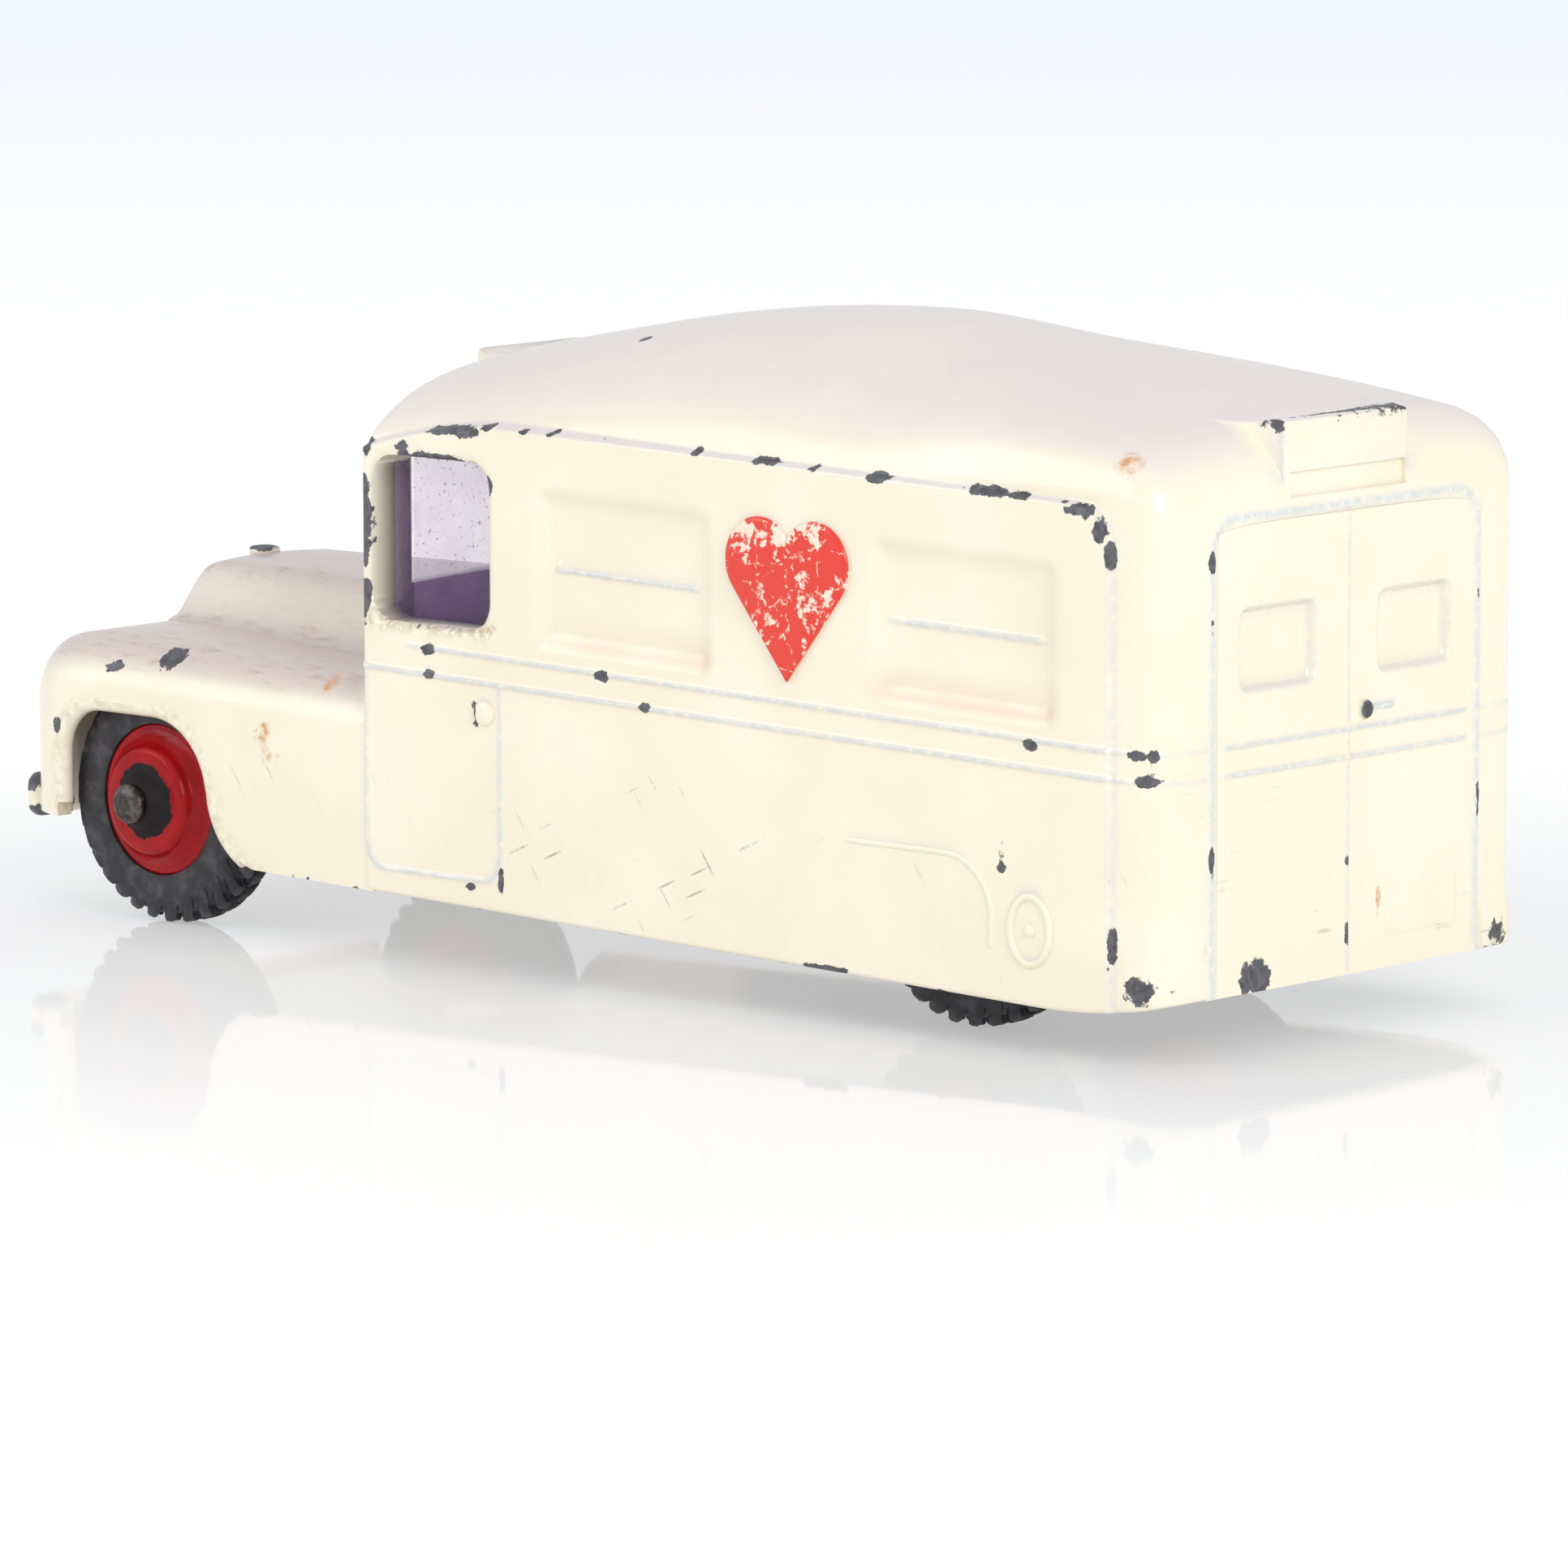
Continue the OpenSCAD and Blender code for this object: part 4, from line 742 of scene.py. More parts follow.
for x in (frontAxleX, rearAxleX):
    path = [(x - slotR, 0), (x + slotR, 0)] + arcPoints((x, axleZ), slotR, 0, 180, 13)
    slots.stack([[[a, far, b] for a, b in path] for far in (-slotHalf, slotHalf)])
combine(body, walls.mirrored().made("inner_walls"), "UNION")
combine(body, lids.made("well_tops"), "UNION")
combine(body, slots.made("axle_slots"), "DIFFERENCE")
print("inside", len(body.data.polygons))
finishPiece(body, 38, "body_casting", "van")


# node maths: a socket that can be added, multiplied and so on
class Wire:
    def __init__(self, tree, socket):
        self.tree, self.socket = tree, socket

    def make(self, kind, settings, inputs, out=0):
        node = self.tree.nodes.new(kind)
        for key, value in settings.items():
            setattr(node, key, value)
        for key, value in inputs.items():
            if isinstance(value, Wire):
                self.tree.links.new(value.socket, node.inputs[key])
            else:
                node.inputs[key].default_value = value
        return Wire(self.tree, node.outputs[out])

    def math(self, operation, first, second=0.0, third=0.0):
        return self.make("ShaderNodeMath", {"operation": operation}, {0: first, 1: second, 2: third})

    def __add__(self, other):
        return self.math("ADD", self, other)

    def __radd__(self, other):
        return self.math("ADD", other, self)

    def __sub__(self, other):
        return self.math("SUBTRACT", self, other)

    def __rsub__(self, other):
        return self.math("SUBTRACT", other, self)

    def __mul__(self, other):
        return self.math("MULTIPLY", self, other)

    def __rmul__(self, other):
        return self.math("MULTIPLY", other, self)

    def most(self, other):
        return self.math("MAXIMUM", self, other)

    def least(self, other):
        return self.math("MINIMUM", self, other)

    def ramp(self, low, high):              # eased from 0 at low to 1 at high
        return self.make("ShaderNodeMapRange", {"interpolation_type": "SMOOTHSTEP"},
                         {0: self, 1: low, 2: high})

    def blend(self, first, second):         # this factor mixes two colours
        return self.make("ShaderNodeMix", {"data_type": "RGBA"}, {0: self, 6: first, 7: second}, 2)

    def scaled(self, factors):
        return self.make("ShaderNodeVectorMath", {"operation": "MULTIPLY"}, {0: self, 1: factors})

    def moved(self, other):
        return self.make("ShaderNodeVectorMath", {"operation": "ADD"}, {0: self, 1: other})

    def joined(self, x, y, z):
        return self.make("ShaderNodeCombineXYZ", {}, {0: x, 1: y, 2: z})

    def noise(self, scale, detail=2.0, rough=0.55, out=0):
        return self.make("ShaderNodeTexNoise", {"noise_dimensions": "3D"},
                         {"Vector": self, "Scale": scale, "Detail": detail, "Roughness": rough}, out)

    def spots(self, scale, feature="F1"):
        return self.make("ShaderNodeTexVoronoi", {"feature": feature}, {"Vector": self, "Scale": scale})

    def parts(self):
        node = self.make("ShaderNodeSeparateXYZ", {}, {0: self}).socket.node
        return [Wire(self.tree, socket) for socket in node.outputs]


def colour(r, g, b):
    return (r, g, b, 1.0)


class Paint:                                # one material, its Principled node and its millimetre coordinates
    def __init__(self, name, constants):
        self.material = bpy.data.materials.new(name)
        self.material.use_nodes = True
        self.tree = self.material.node_tree
        self.shader = self.tree.nodes["Principled BSDF"]
        for key, value in constants.items():
            self.shader.inputs[key].default_value = value
        coords = self.tree.nodes.new("ShaderNodeTexCoord")
        self.place = Wire(self.tree, coords.outputs["Object"]).scaled((1 / mm, 1 / mm, 1 / mm))

    def attribute(self, name):
        return self.place.make("ShaderNodeAttribute", {"attribute_name": name}, {}, "Fac")

    def set(self, **wires):
        for key, wire in wires.items():
            self.tree.links.new(wire.socket, self.shader.inputs[key.replace("_", " ")])

    def bump(self, height, strength, distance):
        self.set(Normal=height.make("ShaderNodeBump", {}, {"Strength": strength, "Distance": distance * mm,
                                                           "Height": height}))

    def coat(self, item):
        item.data.materials.clear()
        item.data.materials.append(self.material)


# cream enamel over zinc
enamel = Paint("cream_enamel", {"Coat Roughness": 0.12, "Coat IOR": 1.5, "Specular IOR Level": 0.5})
place = enamel.place
warp = place.noise(0.9, 3.0, 0.6, 1).moved((-0.5, -0.5, -0.5))
wide = place.noise(0.11, 3.0)
fine = place.noise(1.7, 4.0, 0.65)
up = enamel.attribute("up")                 # 1 where the surface looks upwards
placeX, placeY, placeZ = place.parts()
tone = wide.ramp(0.35, 0.7).blend(colour(0.90, 0.83, 0.65), colour(0.93, 0.875, 0.71))
# painted light along the raised lines: a bluish-grey reflection on the beads, belts and ledge, and a grey
# shade line round the rear windows
tone = (enamel.attribute("bead") * fine.ramp(0.25, 0.6) * 0.9).blend(tone, colour(0.63, 0.685, 0.705))
# painted sheen: upward faces turned pinkish and darker, standing in for the lamps' reflection on the roof
roofSheen = wide.ramp(0.4, 0.65).blend(colour(0.77, 0.685, 0.68), colour(0.80, 0.715, 0.685))
tone = (up.ramp(0.3, 0.97) * 0.75).blend(tone, roofSheen)
# painted shade on the nose tops and low in the pockets and rear windows; grime streaked on the nose, round
# the arches and under the window
streak = place.scaled((0.4, 1.6, 1.3)).noise(1.3, 5.0, 0.7)
noseMask = (placeX * -1.0).ramp(-pillarX - 0.5, -pillarX + 2.0) * up.ramp(0.3, 0.85)
# painted shade: the nose's upward faces darkened to a pinkish brown
tone = (noseMask * 0.85).blend(tone, colour(0.63, 0.525, 0.47))
dirt = noseMask * streak.ramp(0.48, 0.76) * 0.75
dirt = dirt.most(enamel.attribute("grime") * fine.ramp(0.38, 0.62))
# painted shade: a warm tan darkening low in the side pockets and in the rear window recesses
tone = (enamel.attribute("blush") * wide.ramp(0.25, 0.6)).blend(tone, colour(0.86, 0.66, 0.47))
tone = (dirt * 0.75).blend(tone, colour(0.42, 0.27, 0.13))


def strokes(lean):                          # short straight scratches that lean by this angle
    along = placeX * math.cos(lean) + placeZ * math.sin(lean)
    across = placeZ * math.cos(lean) - placeX * math.sin(lean)
    return place.joined(along * 0.13, placeY * 0.13, across * 1.5).spots(1.0)


# fine dark scratches low on the sides
awayX, awayZ = (placeX - 6.0) * (1 / 14), (placeZ - 9.5) * (1 / 5)
patch = 1.0 - (awayX * awayX + awayZ * awayZ).ramp(0.2, 1.3)
patch = patch.most(place.noise(0.13, 2.0).ramp(0.5, 0.68) * 0.6) * (placeZ * -1.0).ramp(-20, -15)
scratch = (1.0 - strokes(0.42).least(strokes(-0.95)).ramp(0.07, 0.15)) * patch
tone = (scratch * fine.ramp(0.35, 0.55) * 0.6).blend(tone, colour(0.22, 0.19, 0.16))
# rust stains and chips, listed one by one: place and reach along each axis
rust = [(-20.0, -17.3, 17.0, 0.9, 3, 1.1), (-24.7, -17.3, 13.4, 1.0, 3, 0.9),
        (-24.2, -17.3, 11.7, 1.3, 3, 0.6), (44.5, -16.3, 35.2, 1.2, 1.5, 1.2),
        (47.6, 3.0, 8.0, 2, 0.3, 1.5), (45.5, 12.0, 34.3, 1.2, 1.4, 1.2)]
chips = [(-38.3, -16.8, 16.3, 0.8, 1.5, 0.5), (-33.6, -16.4, 17.3, 0.9, 1.8, 0.9),
         (-34.3, -16.4, 17.2, 0.6, 1.8, 0.9), (-47.3, -14.9, 8.0, 1.3, 1.5, 0.8),
         (-46.8, -15.2, 6.0, 1.3, 1.8, 0.7), (-43.1, -16.9, 12.2, 0.4, 1.2, 0.6),
         (-41.5, -0.4, 22.2, 1.2, 1.0, 0.3), (-15.6, -16.8, 32.0, 0.7, 1.6, 0.5),
         (-12.6, -17.3, 32.3, 0.4, 1.2, 0.25), (-15.7, -17.0, 27.2, 0.45, 1.4, 3.1),
         (-15.6, -17.0, 22.4, 0.35, 1.4, 1.6), (-10.2, -17.2, 31.5, 3.3, 1.2, 0.42),
         (-5.2, -17.2, 30.2, 0.45, 1.3, 0.8), (-8.2, -17.1, 33.4, 2.8, 1.2, 0.4),
         (-5.3, -17.2, 33.8, 0.5, 1.2, 0.3), (0.0, -17.2, 33.8, 0.35, 1.2, 0.3),
         (-2.2, -17.2, 33.7, 0.4, 1.2, 0.2), (11.7, -17.2, 33.5, 0.4, 1.2, 0.3),
         (17.3, -17.2, 33.3, 1.2, 1.2, 0.3), (20.9, -17.2, 33.2, 0.6, 1.2, 0.35),
         (26.2, -17.2, 33.0, 1.0, 1.2, 0.4), (34.6, -17.2, 32.8, 1.6, 1.2, 0.4),
         (37.2, -17.2, 32.7, 0.8, 1.2, 0.35), (41.6, -17.1, 32.2, 1.2, 1.2, 0.5),
         (43.2, -17.1, 31.2, 0.6, 1.2, 0.9), (43.9, -17.1, 29.7, 0.35, 1.2, 0.9),
         (4.3, -17.5, 19.4, 0.7, 1.2, 0.4), (7.8, -17.5, 17.8, 0.55, 1.2, 0.35),
         (-10.1, -17.5, 18.3, 0.55, 1.2, 0.35), (-10.2, -17.5, 19.8, 0.65, 1.2, 0.4),
         (-6.4, -17.6, 16.1, 0.5, 1.2, 0.85), (38.1, -17.5, 18.3, 0.6, 1.2, 0.45),
         (45.6, -16.6, 18.3, 0.7, 1.6, 0.32), (46.6, -16.0, 18.3, 0.35, 1.6, 0.4),
         (46.3, -16.4, 16.8, 0.8, 1.8, 0.35), (35.8, -17.4, 11.5, 0.55, 1.2, 0.9),
         (22.0, -17.2, 3.5, 2.0, 1.2, 0.3), (45.9, -16.2, 4.6, 1.1, 1.8, 1.0),
         (46.9, -14.4, 4.5, 0.8, 1.6, 0.5), (44.1, -17.1, 7.2, 0.3, 1.2, 1.2),
         (-4.2, -17.4, 6.0, 0.3, 1.0, 0.8), (-6.8, -17.4, 5.5, 0.5, 1.0, 0.3),
         (47.6, -8.4, 4.6, 1.2, 1.5, 1.2), (46.9, -6.3, 36.5, 1.0, 0.9, 0.75),
         (47.4, 0.7, 36.4, 1.0, 0.8, 0.45), (47.4, 5.0, 36.1, 1.0, 0.7, 0.6),
         (46.6, 5.8, 36.95, 1.2, 1.0, 0.45), (46.4, 14.2, 4.6, 2.0, 1.4, 1.1),
         (47.7, -12.4, 29.2, 1.0, 0.35, 0.7), (47.7, -12.4, 11.8, 1.0, 0.3, 1.2),
         (47.7, 0.0, 10.9, 1.0, 0.25, 0.6), (47.7, 0.0, 6.2, 1.0, 0.2, 0.8),
         (47.7, 12.5, 13.0, 1.0, 0.25, 1.2), (0.2, -9.0, 38.2, 0.55, 0.6, 1.6)]
torn = (place.noise(1.3, 3.0, 0.65) - 0.5) * 1.3      # ragged rims
stain = 1.0 - (enamel.attribute("rustAway") + torn).ramp(0.3, 1.0)
tone = (stain * fine.ramp(0.3, 0.62) * 0.85).blend(tone, colour(0.62, 0.23, 0.02))
# the heart: red enamel worn back to cream
crackPlace = place.moved(warp.scaled((1.6, 1.6, 1.6)))
cracks = crackPlace.scaled((0.35, 0.2, 0.9)).spots(0.42, "DISTANCE_TO_EDGE").least(
    crackPlace.scaled((0.9, 0.2, 0.4)).spots(0.5, "DISTANCE_TO_EDGE"))
redMask = enamel.attribute("red") * (1.0 - place.noise(0.42, 4.0, 0.7).ramp(0.55, 0.6) * 0.9)
redMask = redMask * (1.0 - (1.0 - cracks.ramp(0.004, 0.02)) * fine.ramp(0.5, 0.55) * 0.8)
tone = redMask.blend(tone, colour(0.78, 0.028, 0.008))
# chips along the raised edges, ragged by noise
flake = (enamel.attribute("edge") * 0.3 + place.noise(0.33, 3.0, 0.7) * 0.8 + fine * 0.3).ramp(0.86, 0.875)
chip = flake.most(1.0 - (enamel.attribute("chipAway") + torn).ramp(0.86, 0.98))
# bare zinc where the paint is worn through, and dark zinc inside the casting as painted shade
chip = chip.most(enamel.attribute("metal"))
zinc = fine.ramp(0.3, 0.7).blend(colour(0.085, 0.085, 0.095), colour(0.17, 0.17, 0.185))
enamel.set(Base_Color=chip.blend(tone, zinc), Metallic=chip * 0.55, Roughness=chip * 0.22 + dirt * 0.25 + 0.3,
           Coat_Weight=(1.0 - chip) * (1.0 - dirt) * 0.45)
enamel.bump((1.0 - chip) * 1.0 + place.noise(0.55, 2.0) * 0.18 - scratch * 0.3, 0.55, 0.09)
enamel.coat(body)

# what the paint needs to know of the shape, worked out at the body's own points
px, py, pz = pointsOf(body) / mm
upward = pointsOf(body, "normal")[2]
across, height = np.abs(py), pz - drop(px)
sideMask = ease((across - shellHalf + 0.9) / 0.3) * (px > pillarX - 0.4)
rearMask = (px > rearX - 0.7) * (across < doorHalf + 0.2)
beltMask = (np.clip(beltRelief(px, pz), 0, 1) * np.where(px > creaseX + 0.3, 0.5, 1)
            * ((px > pillarX) & (across > shellHalf - 4.5)))
doorMask = bead(doorDistance(px, pz), 0.6) * (height < beltZ) * sideMask
ledgeMask = bead(panelDistance(px, pz), 0.7) * sideMask
barMask, pocketShade = 0, 0
for pocket in pockets:
    barAlong, barAcross = barDistance(pocket, px, height)
    barMask = barMask + bead(barAcross, 0.7) * within(barAlong - 0.1, 0.4) * sideMask
    # painted shade low inside each pocket
    pocketShade = pocketShade + (ease(0.4 - pocketDistance(pocket, px, height))
                                 * ease((pocket["low"][1] + 3.2 - height) / 3) * sideMask)
rimDistance = boxDistance(across, pz, (-doorHalf + 0.5, -5), (doorHalf - 0.5, rearTopZ - 0.5), 2.0)
rimMask = bead(rimDistance, 1.0) * rearMask
rearPane = rearWindowDistance(py, pz)
# painted shade line round the rear window recesses
rearPaneShadeLine = bead(rearPane + 0.25, 1.1) * rearMask
centreMask = bead(py, 0.6) * rearMask * (pz < rearTopZ - 1)
rearBelt = np.clip(beltRelief(np.full_like(px, rearX), pz), 0, 1) * rearMask * (across < 11.5)
sillMask = bead(pz - sillAt(px), 0.9) * (px > frontAxleX + 8)
archNear = np.min(np.hypot(px[:, None] - archPath[None, ::2, 0], pz[:, None] - archPath[None, ::2, 1]), 1)
archMask = ease(1.0 - archNear / 0.9) * (across > halfW - 2.4)
signMask = ease(1 - np.abs(pz - sign["top"]) / 0.5) * (across < 6.6) * (px > rearX - 1.2)
signEdge = (bead(across - sign["half"] + 0.1, 0.7) * (px > rearX - 0.6) * (pz > rearTopZ + 0.3)
            * (pz < sign["top"]))
bumperMask = ((px < frontX + 3.4) & (pz < 8.7)) * 0.75
pane = boxDistance(px, pz, window["low"], window["high"], window["radius"])
paneMask = ease(1 - np.abs(pane - 0.1) / 0.7) * sideMask
paneFoot = ease(1 - np.abs(pz - window["low"][1]) / 0.9) * (np.abs(pane) < 1.2) * sideMask
heartMask = ((across > halfW + 0.12) & (np.hypot(px - heart["place"][0], pz - heart["place"][1]) < 6.4)
             & (pz > heart["place"][1] - heart["width"] / 2 - 0.1))
knobMask = (np.hypot(py - knob["place"][0], pz - knob["place"][1]) < 0.9) * (px > rearX + 0.3)
# painted shade low inside the rear window recesses
rearPaneShade = ease(-rearPane / 0.8) * ease((rearWindow["low"][1] + 2.6 - pz) / 2.4) * rearMask
latchMask = ((px > rearX + 0.04) & (np.abs(pz - latch["height"]) < 0.3) & (py > latch["start"] - 0.2)
             & (py < latch["end"] + 0.2))
screenX = pillarX - van["cabBow"] * (1 - (py / halfW) ** 2)
# painted shade: the casting's inside is given dark bare zinc, standing in for its unlit interior
insideMask = ((across < halfW - 1.2) & (px > screenX + 1.1) & (px < rearX - 1.1)
              & (pz < shoulderAt(px) - 0.8))


def strongest(*masks):
    return np.clip(np.maximum.reduce(masks), 0, 1)


def nearest(spots):                         # least distance to any of the places, 1 at its rim
    away = [np.sqrt(sum(((p - c) / r) ** 2 for p, c, r in zip((px, py, pz), spot[:3], spot[3:])))
            for spot in spots]
    return np.clip(np.min(away, 0), 0, 3)


# the knob worn to bare zinc; the casting's inside given dark zinc as painted shade
values = {"up": upward, "red": heartMask, "metal": np.maximum(knobMask, insideMask),
          "edge": strongest(beltMask * 0.5, doorMask * 0.55, ledgeMask * 0.62, rimMask * 0.6,
                            centreMask * 0.6, rearBelt * 0.4, sillMask * 0.75, signMask * 0.6, bumperMask,
                            paneMask * 0.6, barMask * 0.4),
          # painted reflection on the raised lines, painted shade line round the rear windows
          "bead": strongest(beltMask, doorMask, barMask, rimMask, rearPaneShadeLine * 0.5, centreMask * 0.8,
                            rearBelt, ledgeMask * 0.6, latchMask, signEdge * 0.7),
          # painted shade in the recesses
          "blush": np.clip(pocketShade * 0.75 + rearPaneShade * 0.35, 0, 1),
          "grime": strongest(archMask * 0.5, paneFoot * 0.9),
          "chipAway": nearest(chips), "rustAway": nearest(rust)}
for name, value in values.items():
    writeAttribute(body, name, value)
print("painted", {name: round(float(np.mean(value)), 3) for name, value in values.items()})


# Geometry Nodes: a tree whose named inputs are wires, with the keys that set them
def newTree(name, inputs):
    tree = bpy.data.node_groups.new(name, "GeometryNodeTree")
    tree.interface.new_socket("Geometry", in_out="OUTPUT", socket_type="NodeSocketGeometry")
    keys = [tree.interface.new_socket(label, in_out="INPUT", socket_type="NodeSocket" + kind).identifier
            for label, kind in inputs.items()]
    given = tree.nodes.new("NodeGroupInput")
    return keys, [Wire(tree, given.outputs[label]) for label in inputs]


def closeTree(copies, paint):               # instances made real, painted and sent out
    real = copies.make("GeometryNodeRealizeInstances", {}, {0: copies})
    painted = real.make("GeometryNodeSetMaterial", {}, {"Geometry": real, "Material": paint.material})
    result = copies.tree.nodes.new("NodeGroupOutput")
    copies.tree.links.new(painted.socket, result.inputs[0])


def runTree(name, tree, keys, values):      # an object whose mesh the tree makes
    item = bpy.data.objects.new(name, bpy.data.meshes.new(name))
    bpy.context.collection.objects.link(item)
    step = item.modifiers.new("nodes", "NODES")
    step.node_group = tree
    for key, value in zip(keys, values):
        step[key] = value
    plainMesh(item)
    return item


# grille bars: upright ribs repeated across the radiator
barKeys, barWires = newTree("grille_bars", {"Bars": "Int", "Width": "Float", "Height": "Float",
                                            "Thickness": "Float", "Middle": "Vector"})
barCount, barWidth, barHeight, barRadius, barMiddle = barWires
ends = [barMiddle.moved(barWidth.joined(0.0, barWidth * (side / 2), 0.0)) for side in (-1, 1)]
barLine = barCount.make("GeometryNodeMeshLine", {"mode": "END_POINTS"},
                        {"Count": barCount, "Start Location": ends[0], "Offset": ends[1]})
rib = barCount.make("GeometryNodeMeshCylinder", {}, {"Vertices": 12, "Radius": barRadius, "Depth": barHeight})
closeTree(barLine.make("GeometryNodeInstanceOnPoints", {}, {"Points": barLine, "Instance": rib}), enamel)
barsPlace = ((grille["x"] + 0.8) * mm, 0.0, (grille["low"] + grille["top"]) / 2 * mm)
barSizes = (grille["bars"], grille["barsW"] * mm, grille["barsH"] * mm, grille["barR"] * mm, barsPlace)
bars = runTree("grille_bars", barCount.tree, barKeys, barSizes)
bars.data.polygons.foreach_set("use_smooth", [len(face.vertices) == 4 for face in bars.data.polygons])
for name, value in (("metal", 1.0), ("chipAway", 3.0), ("rustAway", 3.0)):  # the bars are bare metal
    writeAttribute(bars, name, [value] * len(bars.data.vertices))
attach(bars, "van")
print("grille bars", len(bars.data.polygons))

# wheels: hub, tyre and axle
wheel = {"width": tyreHigh[1] - tyreLow[1], "hubR": 4.8, "grooveR": 4.3, "boreR": 1.05, "bossR": 2.2,
         "inset": 0.3, "faceRise": 1.3, "naveRise": 2.3, "lugs": 30, "lugLean": 0.374, "lugDepth": 0.85,
         "crownR": 7.4}
redPaint = Paint("red_enamel", {"Coat Roughness": 0.06, "Coat IOR": 1.5, "Specular IOR Level": 0.1})
spin = redPaint.place
ring = (redPaint.attribute("worn") + (spin.noise(1.1, 4.0, 0.7) - 0.5) * 1.1).ramp(0.42, 0.56)
shade = spin.noise(0.5, 2.0).ramp(0.3, 0.7).blend(colour(0.31, 0.003, 0.006), colour(0.42, 0.005, 0.009))
redPaint.set(Base_Color=ring.blend(shade, colour(0.022, 0.02, 0.021)),
             Roughness=ring * 0.3 + spin.noise(2.2, 4.0, 0.65) * 0.12 + 0.2,
             Coat_Weight=(1.0 - ring) * 0.22, Metallic=ring * 0.3)
redPaint.bump(spin.noise(0.9, 3.0) * 0.5 - ring * 0.4, 0.35, 0.08)
rubber = Paint("tyre_rubber", {"Specular IOR Level": 0.35})
dust = rubber.place.noise(0.7, 4.0, 0.6)
rubber.set(Base_Color=dust.ramp(0.42, 0.75).blend(colour(0.03, 0.029, 0.032), colour(0.09, 0.085, 0.092)),
           Roughness=dust * 0.3 + 0.42)
rubber.bump(rubber.place.noise(3.0, 3.0) * 0.5 + dust * 0.5, 0.35, 0.06)
steel = Paint("axle_steel", {"Metallic": 0.85})
tarnish = steel.place.noise(1.3, 4.0, 0.65)
steel.set(Base_Color=tarnish.ramp(0.35, 0.7).blend(colour(0.035, 0.03, 0.026), colour(0.17, 0.15, 0.135)),
          Roughness=tarnish * 0.3 + 0.32)
steel.bump(steel.place.noise(4.0, 3.0), 0.3, 0.04)
hubR, grooveR, boreR, bossR = (wheel[key] for key in ("hubR", "grooveR", "boreR", "bossR"))
rimA = wheel["width"] - wheel["inset"]
faceA, naveA = rimA + wheel["faceRise"], rimA + wheel["naveRise"]
hubProfile = [(boreR, -0.35), (bossR, -0.35), (bossR, 0.3), (hubR, 0.3), (hubR, 0.9), (grooveR, 0.9),
              (grooveR, rimA - 0.6), (hubR, rimA - 0.6), (hubR, rimA - 0.12), (4.72, rimA - 0.03),
              (4.6, rimA), (4.45, rimA - 0.02), (4.1, rimA + 0.18), (3.75, rimA + 0.42), (3.58, rimA + 0.6),
              (3.48, rimA + 0.85), (3.4, rimA + 1.08), (3.28, faceA - 0.08), (3.1, faceA),
              (2.6, faceA - 0.05), (2.1, faceA + 0.02), (1.88, faceA + 0.14), (1.76, faceA + 0.35),
              (1.42, naveA - 0.1), (1.3, naveA), (boreR, naveA)]

# tyres: a carcass from its profile, lugs set round both shoulders
lugKeys, (carcassWire, lugWire, lugCount, lugShift) = newTree(
    "tyre_lugs", {"Carcass": "Object", "Lug": "Object", "Lugs": "Int", "Shift": "Float"})
spots = lugCount.make("GeometryNodeMeshLine", {}, {"Count": lugCount, "Offset": (0, 0, 0)})
index = lugCount.make("GeometryNodeInputIndex", {}, {})
turn = index.math("MULTIPLY_ADD", index.math("DIVIDE", index, lugCount), 2 * math.pi, lugShift)
carcassShape, lugShape = (wire.make("GeometryNodeObjectInfo", {}, {0: wire}, "Geometry")
                          for wire in (carcassWire, lugWire))
copies = spots.make("GeometryNodeInstanceOnPoints", {},
                    {"Points": spots, "Instance": lugShape, "Rotation": turn.joined(0.0, turn, 0.0)})
both = copies.make("GeometryNodeJoinGeometry", {}, {0: copies})
both.tree.links.new(carcassShape.socket, both.socket.node.inputs[0])
closeTree(both, rubber)


def carcassShell():
    grip, crown, middle = hubR + 0.02, wheel["crownR"], wheel["width"] / 2
    half = [(4.32, 0.92), (grip, 0.92), (grip, 0.2), (grip + 0.2, 0.08), (5.6, 0.02), (6.3, 0.0), (6.75, 0.1),
            (7.05, 0.3), (7.22, 0.6), (7.34, 1.1), (crown, 1.6)]
    profile = half + [(radius, wheel["width"] - far) for radius, far in reversed(half)]
    return turnedLoop(profile, 0, -middle, 1, 0).made("carcass")


def lugPair():
    lug = Build()
    for side, offset in ((1, 0.0), (-1, math.pi / wheel["lugs"])):
        rings = []
        for t in np.linspace(0, 1, 9):      # from the crown down over the shoulder, bending as it goes
            lean = offset + wheel["lugLean"] * (t - 0.2) ** 2
            far = side * lerp(0.12, wheel["width"] / 2 - 0.08, ease(0.81 * t) if t < 1 else 1.0)
            outer = tyreR - 0.12 - wheel["lugDepth"] * max(0, t - 0.5) ** 2 * 4
            ringPoints = []
            for a, b in ((-1.2, -0.85), (-0.9, 0.0), (-0.5, 0.1), (0.5, 0.1), (0.9, 0.0), (1.2, -0.85)):
                radius = outer + b
                swing = lean + a * lerp(0.5, 0.44, t) / radius
                ringPoints.append([radius * math.cos(swing), far, radius * math.sin(swing)])
            rings.append(ringPoints)
        lug.stack(rings[::side])
    return lug.made("lug")


